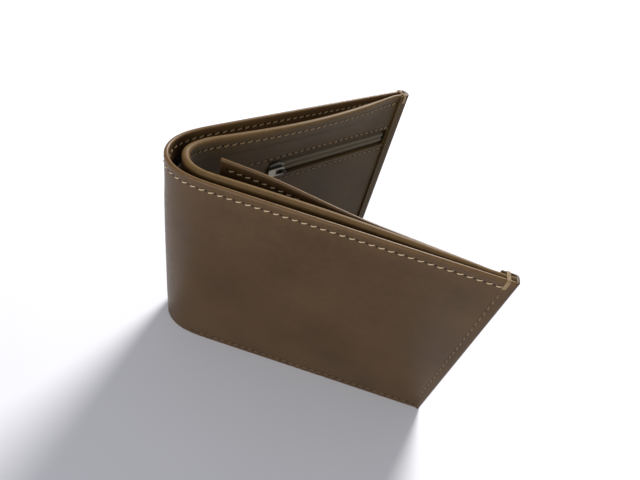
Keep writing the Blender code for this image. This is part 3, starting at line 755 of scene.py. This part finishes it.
DIVIDER_END = 113.9
DIVIDER_TOP = 79.0
DIVIDER_LEVELS = ([1.5, 4.0, 8.0, 14.0, 20.0, 28.0, 36.0, 44.0, 52.0, 60.0, 66.0, 72.0, 76.0, 78.0]
                  + [78.85, 78.93, DIVIDER_TOP])


def divider_middle(s, z):
    share = mix(0.6, 0.2, ease(np.abs(s), 4.0, 34.0))
    ripple = 0.12 * np.sin(s / 5.3) * hump(z, DIVIDER_TOP, 9.0)
    return 1.58 + share * (panel_depth(s, z) - seam_depth(s)) + ripple


def divider_near(s, z):
    return divider_middle(s, z) - DIVIDER_THICK / 2 + rounding(z, DIVIDER_TOP, 0.14)


def divider_far(s, z):
    return divider_middle(s, z) + DIVIDER_THICK / 2 - rounding(z, DIVIDER_TOP, 0.14)


divider_stations = stations_between(-DIVIDER_END, DIVIDER_END, STEP * 2)
divider = across_spine(
    "divider_cloth", sheet(divider_stations, DIVIDER_LEVELS, divider_near, divider_far),
    CLOTH, float(divider_middle(SPLIT, MID_HEIGHT)), zone_nodes("divider"))

# ---- inner panel

PANEL_WINDOW = (61 * STEP, 149 * STEP, WINDOW_LOW, WINDOW_HIGH)
PANEL_END = 122.3
PANEL_LEVELS = ([1.5, 2.0, 4.0] + list(np.arange(8.0, 56.0, 4.0)) + [56.5] + list(LOWER_ZIP_SEAM + SEAM_ROWS)
                + [60.6, 61.2, WINDOW_LOW, 64.5, 67.0, WINDOW_HIGH, 70.2]
                + list(UPPER_ZIP_SEAM + SEAM_ROWS[2:]) + [73.0, 75.5, 78.2] + HEM_STEP[:2] + [HEM_FOOT + 0.6]
                + list(PANEL_SEAM + SEAM_ROWS) + [86.2] + arc_levels(HEIGHT, PANEL_HEM / 2, 8))


def near_zip(s):
    return s > ZIP_SEAM_START - 0.5


def beside_window(s):
    return ease(s, PANEL_WINDOW[0] - 4.0, PANEL_WINDOW[0] - 0.5)


def panel_holes(s, z, mark):
    """Stitch rows on the panel's inner face: its top seam and the two beside the zip."""
    zips = (mark(s, z, UPPER_ZIP_SEAM) + mark(s, z, LOWER_ZIP_SEAM)) * near_zip(s)
    return mark(s, z, PANEL_SEAM) + zips


def lip(s, z):
    """The leather rises towards the zip's opening, where its edge is turned."""
    return beside_window(s) * (0.3 * hump(z, WINDOW_HIGH + 0.5, 0.8) + 0.25 * hump(z, WINDOW_LOW - 0.7, 0.9))


def panel_near(s, z):
    return panel_depth(s, z) - panel_half(s, z)


def inner_face(s, z):
    return panel_depth(s, z) + panel_half(s, z)


def panel_far(s, z):
    return inner_face(s, z) - panel_holes(s, z, pressed) + lip(s, z)


# Painted highlight on the top rim, a lighter band under it and the zip opening's edges, where they catch the
# light.
def panel_wear(s, z):
    window_edge_highlight = beside_window(s) * (hump(z, WINDOW_HIGH, 0.7) + 0.5 * hump(z, WINDOW_LOW, 0.7))
    return ease(z, HEIGHT - 2.0, HEIGHT - 0.2) + 0.35 * window_edge_highlight + 0.2 * ease(z, 80.0, 87.0)


def round_window(window, radius, segments):
    """A function that rounds the edges of a sheet's window."""
    start, end, low, high = window
    slip = 0.01

    def on_rim(vert, layer):
        s, z = vert[layer], vert.co.z / MM
        inside = start - slip < s < end + slip and low - slip < z < high + slip
        return inside and min(abs(s - start), abs(s - end), abs(z - low), abs(z - high)) < slip

    def round_it(bm):
        layer = bm.verts.layers.float["station"]
        rim = [e for e in bm.edges if all(on_rim(vert, layer) for vert in e.verts) and len(e.link_faces) == 2
               and abs(e.link_faces[0].normal.dot(e.link_faces[1].normal)) < 0.4]
        bmesh.ops.bevel(bm, geom=rim, offset=radius * MM, segments=segments, affect="EDGES", profile=0.5)

    return round_it


# Painted shade darkens the panel's stitch holes.
panel = sheet(stations_between(-PANEL_END, PANEL_END), PANEL_LEVELS, panel_near, panel_far,
              window=PANEL_WINDOW, wear=panel_wear, pits=lambda s, z: panel_holes(s, z, pit))
PANEL_MIDDLE = float(panel_depth(SPLIT, MID_HEIGHT))
across_spine("panel_leather", panel, INNER, PANEL_MIDDLE, zone_nodes("panel"),
             rim=round_window(PANEL_WINDOW, 0.6, 4))

# ---- stitches

STITCH_WAY = np.linspace(-1.0, 1.0, 7)
STITCH_CROWN = -0.3 + 0.42 * (1.0 - STITCH_WAY ** 4)
STITCH_RADII = STITCH_RADIUS * np.array((0.75, 0.95, 1.0, 1.04, 1.0, 0.95, 0.75))


def stitches(marks):
    """The middle of each stitch between two holes, and its points along the seam."""
    for first, last in zip(marks[:-1], marks[1:]):
        middle = (first + last) / 2
        yield middle, middle + STITCH_WAY * (abs(last - first) / 2 - STITCH_GAP)


def stitch_row(patch, marks, height, depth, side, where=place, slant=0.3):
    """Separate stitches along a seam, on the outer face (side -1) or the inner face (side 1).

    marks are the stations of the holes, and each stitch rises by the slant away from the spine.
    """
    for middle, s in stitches(marks):
        z = height + slant * (1.0 if middle > 0 else -1.0) * STITCH_WAY
        x, y = where(s, depth(s, z) + side * STITCH_CROWN)
        tube(patch, np.stack((x, y, z), -1), STITCH_RADII, 7, u=middle, station=middle, flat=1.12)


def way_across(where, station):
    """The direction along a sheet at a station."""
    return np.array((*where(station + 0.5, 0.0), 0.0)) - np.array((*where(station - 0.5, 0.0), 0.0))


def stitch_column(patch, marks, station, depth, side, where=place):
    """Separate stitches up a seam at one station."""
    across = way_across(where, station)
    for middle, z in stitches(marks):
        s = station + 0.2 * STITCH_WAY
        x, y = where(s, depth(s, z) + side * STITCH_CROWN)
        tube(patch, np.stack((x, y, z), -1), STITCH_RADII, 7, u=middle, station=station, flat=1.12,
             across=across)


def hole_marks(low, high):
    return stations_between(low, high, STITCH_PITCH)


hem_thread = Patch()
stitch_row(hem_thread, hole_marks(-SIDE_SEAM, SIDE_SEAM), HEM_SEAM, swelling, -1)
across_spine("shell_stitches", hem_thread, THREAD, SHELL_HEM / 2, zone_nodes("thread_shell"))

hem_back_thread = Patch()
stitch_row(hem_back_thread, hole_marks(-STRIP_FOOT + 0.8, STRIP_FOOT - 0.8), HEM_SEAM,
           lambda s, z: SHELL_HEM + 0.0 * s, 1)
across_spine("shell_inside_stitches", hem_back_thread, TAN_THREAD, SHELL_HEM / 2, {})

panel_thread = Patch()
stitch_row(panel_thread, hole_marks(-STRIP_FOOT - 0.2, STRIP_FOOT + 0.2), PANEL_SEAM, inner_face, 1)
across_spine("panel_stitches", panel_thread, TAN_THREAD, PANEL_MIDDLE, zone_nodes("thread_panel"))

SIDE_MARKS = hole_marks(6.5, HEM_SEAM - 1.0)
FOOT_SPAN = (20.4, 117.6)
for tag, side in (("back", 1), ("front", -1)):
    column = Patch()
    stitch_column(column, SIDE_MARKS, side * SIDE_SEAM, swelling, -1)
    carried(f"side_stitches_{tag}", column, f"{tag}_half", DULL_THREAD, "thread", f"thread_side_{tag}")
    foot = Patch()
    ends = sorted(side * end for end in FOOT_SPAN)
    stitch_row(foot, hole_marks(*ends), FOOT_SEAM, swelling, -1, slant=0.07)
    carried(f"foot_stitches_{tag}", foot, f"{tag}_half", DULL_THREAD, "thread", f"thread_bottom_{tag}")

for tag, height in (("upper", UPPER_ZIP_SEAM), ("lower", LOWER_ZIP_SEAM)):
    row = Patch()
    stitch_row(row, hole_marks(ZIP_SEAM_START, STRIP_FOOT + 0.2), height, inner_face, 1, slant=0.08)
    carried(f"zip_stitches_{tag}", row, "back_half", TAN_THREAD, "thread", f"thread_zip_{tag}")

# ---- edge strips and bartacks


def edge_path(side, thick, nose):
    """The middle line of the leather that is folded round a half's outer edge, from the outside in."""
    half = EDGE_LEAF / 2
    outline = [(HALF_LENGTH - half - nose - 0.2, half)]
    for start, (s, d) in ((-90.0, (HALF_LENGTH - half - nose, half + nose)),
                          (0.0, (HALF_LENGTH - half - nose, thick - half - nose))):
        for turn in np.radians(np.linspace(start, start + 90.0, 9)):
            outline.append((s + nose * math.cos(turn), d + nose * math.sin(turn)))
    outline += [(s, thick - half) for s in np.linspace(HALF_LENGTH - half - nose - 0.4, STRIP_FOOT, 7)]
    return [place(side * s, d) for s, d in outline]


EDGE_LEVELS = ([0.0, 0.3, 1.0] + list(np.arange(6.0, 84.0, 6.0)) + [85.6, 86.6]
               + arc_levels(HEIGHT, EDGE_LEAF / 2, 5))
EDGE_HEM = np.array((1.7, 1.3, 0.9, 0.4, 0.2, 0.08, 0.02))
TACK_OFFSETS = (-0.45, -0.15, 0.16, 0.45)
TACK_RADIUS = 0.19

for tag, side, thick, nose in (("back", 1, BACK_EDGE_THICK, 1.9), ("front", -1, FRONT_EDGE_THICK, 0.9)):
    where, run = on_path(edge_path(side, thick, nose))

    def strip_half(p, z, run=run):
        ends = rounding(p, run[-1], 0.4)
        return EDGE_LEAF / 2 - rounding(z, HEIGHT, EDGE_LEAF / 2) - np.minimum(ends, 0.38)

    def crease(p, z, run=run):
        return 0.10 * hump(p, run[-1] - 1.3, 0.4)

    def core(p, z, nose_end=2.0 * nose + thick):
        """The fold is packed behind its nose."""
        return 0.55 * nose * ease(p, 0.4, 1.4) * (1.0 - ease(p, nose_end - 1.6, nose_end - 0.6))

    # Wear and painted highlight: lighter at the top rim, round the nose and at the inner end.
    def strip_wear(p, z, run=run):
        return 0.2 * ease(z, 86.8, HEIGHT) + 0.12 * hump(p, 2.2, 1.4) + 0.2 * hump(p, run[-1], 0.6)

    along = np.concatenate((np.linspace(0.0, run[-1], 40), run[-1] - EDGE_HEM))
    along = sorted(set(np.round(along, 3)))
    # the outer face is on the path's left for the back half and on its right for the front half
    strip = sheet(along, EDGE_LEVELS,
                  lambda p, z: -strip_half(p, z) + (crease(p, z) if side > 0 else -core(p, z)),
                  lambda p, z: strip_half(p, z) - (crease(p, z) if side < 0 else -core(p, z)),
                  where=where, wear=strip_wear)
    look = INNER if side > 0 else OUTER
    carried(f"edge_strip_{tag}_leather", strip, f"{tag}_half", look, "leather", f"edge_strip_{tag}")

    tack = Patch()
    for k, offset in enumerate(TACK_OFFSETS):
        lean = 0.12 * math.sin(2.2 * k)
        low = HEM_SEAM - 0.7 + 0.25 * (k % 2)
        profile = [(-0.02, low), (-0.16, low + 0.5), (-0.18, HEIGHT - 1.2), (-0.12, HEIGHT - 0.4),
                   (0.25, HEIGHT + 0.08), (1.2, HEIGHT + 0.14), (thick / 2, HEIGHT + 0.02),
                   (thick - 1.2, HEIGHT + 0.14), (thick - 0.25, HEIGHT + 0.08), (thick + 0.12, HEIGHT - 0.4),
                   (thick + 0.18, HEIGHT - 1.2), (thick + 0.16, low + 0.5), (thick + 0.02, low)]
        points = np.array([(*place(side * (SIDE_SEAM + offset + lean * (z - low) / 4.0), d), z)
                           for d, z in profile])
        dense = np.linspace(0, len(points) - 1, 40)
        path = np.stack([np.interp(dense, np.arange(len(points)), axis) for axis in points.T], -1)
        tube(tack, path, TACK_RADIUS, 7, u=offset, across=way_across(place, side * SIDE_SEAM))
    carried(f"bartack_{tag}_thread", tack, f"{tag}_half", TAN_THREAD, "thread", f"bartack_{tag}")

# ---- zip


def tape_face(side):
    """The tape's face: flat behind the panel, swollen over the coil, and turned in at the zip's middle."""

    def face(s, z):
        reach = side * (z - ZIP_CREST)
        swollen = mix(0.22, -1.0, ease(reach, 1.9, 2.9)) - 0.5 * (1.0 - ease(reach, 0.06, 0.7))
        weave = 0.05 * hump(reach, 1.15, 0.14) + 0.05 * hump(reach, 1.75, 0.14)
        return swollen + weave + 0.04 * np.sin(s / 4.1 + side) * hump(reach, 1.0, 1.2)

    return face


TAPE_REACHES = (0.06, 0.14, 0.26, 0.4, 0.6, 0.85, 1.0, 1.15, 1.3, 1.5, 1.65, 1.75, 1.9, 2.1, 2.3, 2.5,
                2.7, 2.9, 3.4, 4.6, 6.2)
TAPE_THICK = 0.28
TAPE_SPAN = (48.2, 116.4)
COIL_PITCH = 1.25
COIL_TURNS = 50
COIL_WIRE = 0.19
for tag, side in (("upper", 1), ("lower", -1)):
    face = tape_face(side)
    levels = sorted(ZIP_CREST + side * r for r in TAPE_REACHES)
    tape = sheet(np.arange(*TAPE_SPAN, 1.1), levels, lambda s, z: face(s, z) - TAPE_THICK, face,
                 where=on_zip)
    carried(f"zip_tape_{tag}_cloth", tape, "back_half", TAPE, "zip_tape", f"zip_tape_{tag}")
    coil = Patch()
    turns = np.arange(0.0, COIL_TURNS, 1.0 / 12)
    along = SLIDER_MIDDLE + COIL_PITCH * (turns + (0.5 if side < 0 else 0.0))
    swing = 2.0 * math.pi * turns
    x, y = on_zip(along, -0.78 + 0.36 * np.sin(swing))
    z = ZIP_CREST + side * 0.66 + 0.62 * np.cos(swing)
    tube(coil, np.stack((x, y, z), -1), COIL_WIRE, 5, across=(*ZIP_OUT, 0.05))
    carried(f"zip_coil_{tag}_loops", coil, "back_half", COIL, "zip_coil", f"zip_coil_{tag}")


POUCH_SPAN = (20.0, 97.0)
POUCH_STEADY = 73.0
POUCH_LEVELS = [8.0, 10.0, 14.0, 20.0, 28.0, 36.0, 44.0, 52.0, 58.0, 62.0, 66.0, 70.0, POUCH_STEADY,
                76.0, 77.0]
POUCH_THICK = 0.28


def pouch_front(s, z):
    """The pouch hangs behind the panel, and above POUCH_STEADY it no longer follows the panel's hem."""
    steady = np.minimum(z, POUCH_STEADY)
    return panel_near(s, steady) - 0.1 - 0.95 * ease(z, POUCH_LEVELS[0], 56.0)


pouch_sheet = sheet(np.linspace(*POUCH_SPAN, 46), POUCH_LEVELS, lambda s, z: pouch_front(s, z) - POUCH_THICK,
                    pouch_front)
pouch = carried("coin_pouch_cloth", pouch_sheet, "back_half", CLOTH, "lining", "coin_pouch_back_sheet")


def ray_loop(corners, centre, count):
    """Points of a rounded outline at even angles round a centre; corners are (x, y, radius)."""
    dense = []
    total = len(corners)
    for k, (x, y, radius) in enumerate(corners):
        corner = np.array((x, y))
        before = corners[k - 1][:2] - corner
        after = corners[(k + 1) % total][:2] - corner
        before, after = before / np.linalg.norm(before), after / np.linalg.norm(after)
        half = math.acos(float(np.clip(before @ after, -1, 1))) / 2
        start, end = (corner + way * radius / math.tan(half) for way in (before, after))
        for t in np.linspace(0.0, 1.0, 9):
            dense.append((1 - t) ** 2 * start + 2 * t * (1 - t) * corner + t * t * end)
    dense = np.array(dense)
    closed = np.vstack((dense, dense[:1]))
    fine = np.vstack([np.linspace(a, b, 24, endpoint=False) for a, b in zip(closed[:-1], closed[1:])])
    turn = np.arctan2(fine[:, 1] - centre[1], fine[:, 0] - centre[0])
    order = np.argsort(turn)
    wanted = np.linspace(-math.pi, math.pi, count, endpoint=False)
    return np.stack([np.interp(wanted, turn[order], fine[order, c], period=2 * math.pi) for c in (0, 1)], -1)


def plate(outer, inner, back, front, soft):
    """A flat ring in the zip's directions (along, z) between two loops, with rounded edges."""
    profile = [(share, side, turn) for share, side in ((0.0, 0.0), (0.0, 1.0), (1.0, 1.0), (1.0, 0.0))
               for turn in np.linspace(0.0, math.pi / 2, 4)]
    count = len(outer)
    rings, wear = [], []
    away = (outer - inner) / np.linalg.norm(outer - inner, axis=1)[:, None]
    for share, side, turn in profile:
        edge = inner if share == 0.0 else outer
        sign = 1.0 if share == 0.0 else -1.0
        order = (side == 0.0) != (share == 0.0)
        a, b = (math.sin(turn), math.cos(turn)) if order else (math.cos(turn), math.sin(turn))
        flat = edge + sign * away * soft * (1.0 - a)
        out = mix(back, front, side) + (soft if side == 0.0 else -soft) * (1.0 - b)
        x, y = on_zip(flat[:, 0], out)
        rings.append(np.stack((x, y, flat[:, 1]), -1))
        # the rounded edges get most of the wear and painted highlight
        wear.append(np.full(count, 1.0 if 0.2 < turn < 1.4 else 0.3))
    size = len(rings)
    faces = [(i * count + k, i * count + (k + 1) % count, ((i + 1) % size) * count + (k + 1) % count,
              ((i + 1) % size) * count + k) for i in range(size) for k in range(count)]
    patch = Patch()
    flat = np.vstack([outer if share else inner for share, _, _ in profile])
    patch.add(np.vstack(rings), faces, u=flat[:, 0], v=flat[:, 1], wear=np.concatenate(wear))
    return patch


def around_slider(corners):
    return [(SLIDER_MIDDLE + a, ZIP_CREST + z, radius) for a, z, radius in corners]


SLIDER_CENTRE = (SLIDER_MIDDLE, ZIP_CREST)
SLIDER_OUT = (0.1, 1.1)
SLIDER_LOOP = around_slider([(-3.9, -2.6, 1.2), (0.3, -3.3, 1.6), (3.9, -1.9, 1.4), (3.9, 1.9, 1.4),
                             (0.3, 3.3, 1.6), (-3.9, 2.6, 1.2)])
SLIDER_CORE = around_slider([(-1.2, -0.6, 0.25), (1.2, -0.6, 0.25), (1.2, 0.6, 0.25), (-1.2, 0.6, 0.25)])
slider = plate(ray_loop(SLIDER_LOOP, SLIDER_CENTRE, 48), ray_loop(SLIDER_CORE, SLIDER_CENTRE, 48),
               *SLIDER_OUT, 0.3)
lid = [(*on_zip(SLIDER_MIDDLE + a, 0.45), ZIP_CREST) for a in (-0.9, 0.9)]
tube(slider, lid, 1.1, 12, across=(*ZIP_OUT, 0.0), flat=0.5)

PULL_LOOP = [(47.5, 62.0, 0.9), (56.0, 61.7, 1.8), (56.0, 66.3, 1.8), (47.5, 66.3, 0.9)]
PULL_HOLE = [(51.7, 63.0, 0.5), (55.0, 62.9, 0.7), (55.0, 65.1, 0.7), (51.7, 65.0, 0.5)]
PULL_HINGE = (55.5, 64.0)
BAIL_REACH = 1.15
BAIL_RISE = 1.75
BAIL_FOOT = 0.85
bail = [(*on_zip(PULL_HINGE[0] - BAIL_REACH * math.cos(turn), BAIL_FOOT + BAIL_RISE * math.sin(turn)),
         PULL_HINGE[1]) for turn in np.linspace(0.0, math.pi, 15)]
tube(slider, bail, 0.3, 8, across=(0.0, 0.0, 1.0), flat=1.9)
# the slider takes the darker copy of the metal, which is painted shade
carried("zip_slider_body", slider, "slider", SHADED_METAL, "zip_metal", "zip_slider")

PULL_CENTRE = (53.3, 64.0)
PULL_OUT = (1.4, 2.1)
pull = plate(ray_loop(PULL_LOOP, PULL_CENTRE, 96), ray_loop(PULL_HOLE, PULL_CENTRE, 96), *PULL_OUT, 0.2)
carried("zip_pull_tab", pull, "pull", METAL, "zip_metal", "zip_pull")

# ---- card pockets

POCKET_TOPS = (72.0, 61.0, 50.0)
POCKET_FEET = (59.0, 48.0, 4.0)
POCKET_SPAN = (-104.0, -26.0)
POCKET_END = np.array((0.0, 0.07, 0.2))
POCKET_STATIONS = np.concatenate((POCKET_SPAN[0] + POCKET_END, np.arange(-103.0, -26.5, 1.7),
                                  POCKET_SPAN[1] - POCKET_END[::-1]))
POCKET_HEM = np.array((3.2, 2.6, 2.2, 1.8, 1.0))
for number, (top, foot) in enumerate(zip(POCKET_TOPS, POCKET_FEET), 1):

    def pocket_rest(s, z, top=top, foot=foot):
        """How far the pocket has risen, the depth it lies at, and how its ends draw in."""
        rise = np.clip((z - foot) / (top - foot), 0.0, 1.0)
        ends = np.minimum(rounding(s, POCKET_SPAN[1], 0.18) + rounding(-s, -POCKET_SPAN[0], 0.18), 0.17)
        return rise, inner_face(s, z) + mix(0.08, 0.54, rise), ends

    def pocket_near(s, z, top=top, rest=pocket_rest):
        _, depth, ends = rest(s, z)
        return depth + rounding(z, top, 0.2) + 0.06 * hump(z, top - 2.2, 0.25) + ends

    def pocket_far(s, z, top=top, rest=pocket_rest):
        rise, depth, ends = rest(s, z)
        return depth + mix(0.36, 0.45, rise) - rounding(z, top, 0.2) - 0.10 * hump(z, top - 2.2, 0.3) - ends

    levels = list(np.arange(foot, top - 3.4, 2.2)) + list(top - POCKET_HEM) + arc_levels(top, 0.2, 4)
    # The pocket's top edge is lighter: wear and painted highlight.
    pocket = sheet(POCKET_STATIONS, levels, pocket_near, pocket_far,
                   wear=lambda s, z, top=top: 0.8 * ease(z, top - 0.7, top))
    carried(f"card_pocket_{number}_leather", pocket, "front_half", INNER, "inner_leather",
            f"card_pocket_{number}")

# ---- flap

FLAP_SEAM = FLAP_TOP - 3.5
FLAP_HEM = FLAP_TOP - 6.0
FLAP_START = 0.85
FLAP_TIP = FLAP_LENGTH - np.array((0.8, 0.55, 0.3, 0.13, 0.03, 0.0))
FLAP_STATIONS = np.concatenate((np.arange(FLAP_START, FLAP_LENGTH - 1.0, STEP), FLAP_TIP))
FLAP_LEVELS = ([FLAP_FOOT, 4.3, 6.0] + list(np.arange(10.0, 78.0, 4.0)) + [79.0, FLAP_HEM, FLAP_HEM + 0.2]
               + list(FLAP_SEAM + SEAM_ROWS[1:]) + [84.2] + arc_levels(FLAP_TOP, FLAP_HALF, 7))


def flap_round(t, z):
    return np.maximum(rounding(z, FLAP_TOP, FLAP_HALF), rounding(t, FLAP_LENGTH, FLAP_HALF))


def flap_front(t, z):
    return -FLAP_HALF + flap_round(t, z) + pressed(t, z, FLAP_SEAM) * (t > 3.0)


def flap_behind(t, z):
    hem = np.maximum(ease(z, FLAP_HEM, FLAP_HEM + 0.2), ease(t, FLAP_LENGTH - 6.2, FLAP_LENGTH - 6.0))
    return np.maximum(mix(-0.15, FLAP_HALF - flap_round(t, z), hem), -FLAP_HALF + flap_round(t, z) + 0.01)


# Wear and painted highlight on the flap's top rim and its outer end.
def flap_wear(t, z):
    return np.maximum(ease(z, FLAP_TOP - 1.4, FLAP_TOP), ease(t, FLAP_LENGTH - 1.2, FLAP_LENGTH))


# Painted shade darkens the flap's stitch holes.
flap = sheet(FLAP_STATIONS, FLAP_LEVELS, flap_front, flap_behind, where=on_flap, wear=flap_wear,
             pits=lambda t, z: pit(t, z, FLAP_SEAM))
carried("flap_front_leather", flap, "flap", OUTER, "leather", "flap_front_leaf")

BACK_SPAN = (FLAP_START, FLAP_LENGTH - 6.1)
BACK_STATIONS = sorted(set(np.round(np.linspace(*BACK_SPAN, 50), 2)) | set(WINDOW_SPAN))
BACK_STATIONS = [t for t in BACK_STATIONS if t in WINDOW_SPAN or min(abs(t - w) for w in WINDOW_SPAN) > 0.9]
BACK_RISE = [FLAP_FOOT, 6.0, 12.0, 18.0, 22.6, WINDOW_RISE[0], 26.0, 34.0, 45.0, 56.0, 64.0, WINDOW_RISE[1],
             67.4, 72.0, 78.0, FLAP_HEM - 0.1]

FLAP_WINDOW = (*WINDOW_SPAN, *WINDOW_RISE)
# The back leaf is lighter just under its hem: wear and painted highlight.
flap_back = sheet(BACK_STATIONS, BACK_RISE, lambda t, z: BACK_LEAF_DEPTH + 0.0 * t,
                  lambda t, z: FLAP_HALF + 0.0 * t, where=on_flap, window=FLAP_WINDOW,
                  wear=lambda t, z: 0.3 * ease(z, FLAP_HEM - 1.0, FLAP_HEM))
carried("flap_back_leather", flap_back, "flap", INNER, "inner_leather", "flap_back_leaf",
        rim=round_window(FLAP_WINDOW, 0.25, 3))


def film_wave(t, z):
    return 0.03 * np.sin(t / 6.0 + z / 11.0)


film = sheet(np.linspace(8.0, 79.0, 36), np.linspace(20.0, 70.0, 18),
             lambda t, z: film_wave(t, z) - 0.04, lambda t, z: film_wave(t, z) + 0.04, where=on_flap)
carried("flap_window_film", film, "flap", FILM, "window_film", "flap_window")

flap_thread = Patch()
stitch_row(flap_thread, hole_marks(5.0, FLAP_LENGTH - 2.7), FLAP_SEAM,
           lambda t, z: -FLAP_HALF + 0.0 * t, -1, where=on_flap, slant=-0.3)
carried("flap_stitches", flap_thread, "flap", THREAD, "thread", "thread_flap")
flap_end = Patch()
stitch_column(flap_end, hole_marks(8.0, FLAP_TOP - 6.0), FLAP_LENGTH - 4.0,
              lambda t, z: FLAP_HALF + 0.0 * t, 1, where=on_flap)
carried("flap_end_stitches", flap_end, "flap", THREAD, "thread", "thread_flap_end")

# ---- floor, lights and camera

FLOOR_REACH = 3.0
FLOOR_CORNERS = [(x * FLOOR_REACH, y * FLOOR_REACH, 0.0) for x, y in ((-1, -1), (1, -1), (1, 1), (-1, 1))]
floor_mesh = bpy.data.meshes.new("floor")
floor_mesh.from_pydata(FLOOR_CORNERS, [], [(0, 1, 2, 3)])
floor_mesh.materials.append(FLOOR)
put("floor", floor_mesh)


def area_light(name, position, target, size, power, colour):
    data = bpy.data.lights.new(name, "AREA")
    data.shape, data.size, data.energy, data.color = "DISK", size, power, colour
    light = put(name, data)
    light.location = position
    light.rotation_euler = (Vector(target) - Vector(position)).to_track_quat("-Z", "Y").to_euler()


area_light("key", (0.55, 0.75, 0.75), (0.0, 0.0, 0.03), 0.4, 20.0, (1.0, 0.98, 0.96))
area_light("fill", (-0.8, -0.85, 0.5), (0.0, 0.0, 0.04), 0.8, 9.0, (1.0, 0.985, 0.96))

world = bpy.data.worlds.new("studio")
world.use_nodes = True
background = world.node_tree.nodes["Background"]
background.inputs[0].default_value = (0.87, 0.90, 1.0, 1.0)
background.inputs[1].default_value = 0.29
bpy.context.scene.world = world
bpy.context.scene.view_settings.view_transform = "Standard"

camera_data = bpy.data.cameras.new("camera")
camera_data.sensor_width = 36.0
camera_data.lens = 26.9
camera_data.clip_start = 0.01
camera = put("camera", camera_data)
camera.matrix_world = (Matrix.Translation(Vector((-47.43, -135.16, 188.30)) * MM)
                       @ Matrix.Rotation(math.radians(-22.556), 4, "Z")
                       @ Matrix.Rotation(math.radians(45.739), 4, "X")
                       @ Matrix.Rotation(math.radians(16.641), 4, "Z"))
bpy.context.scene.camera = camera
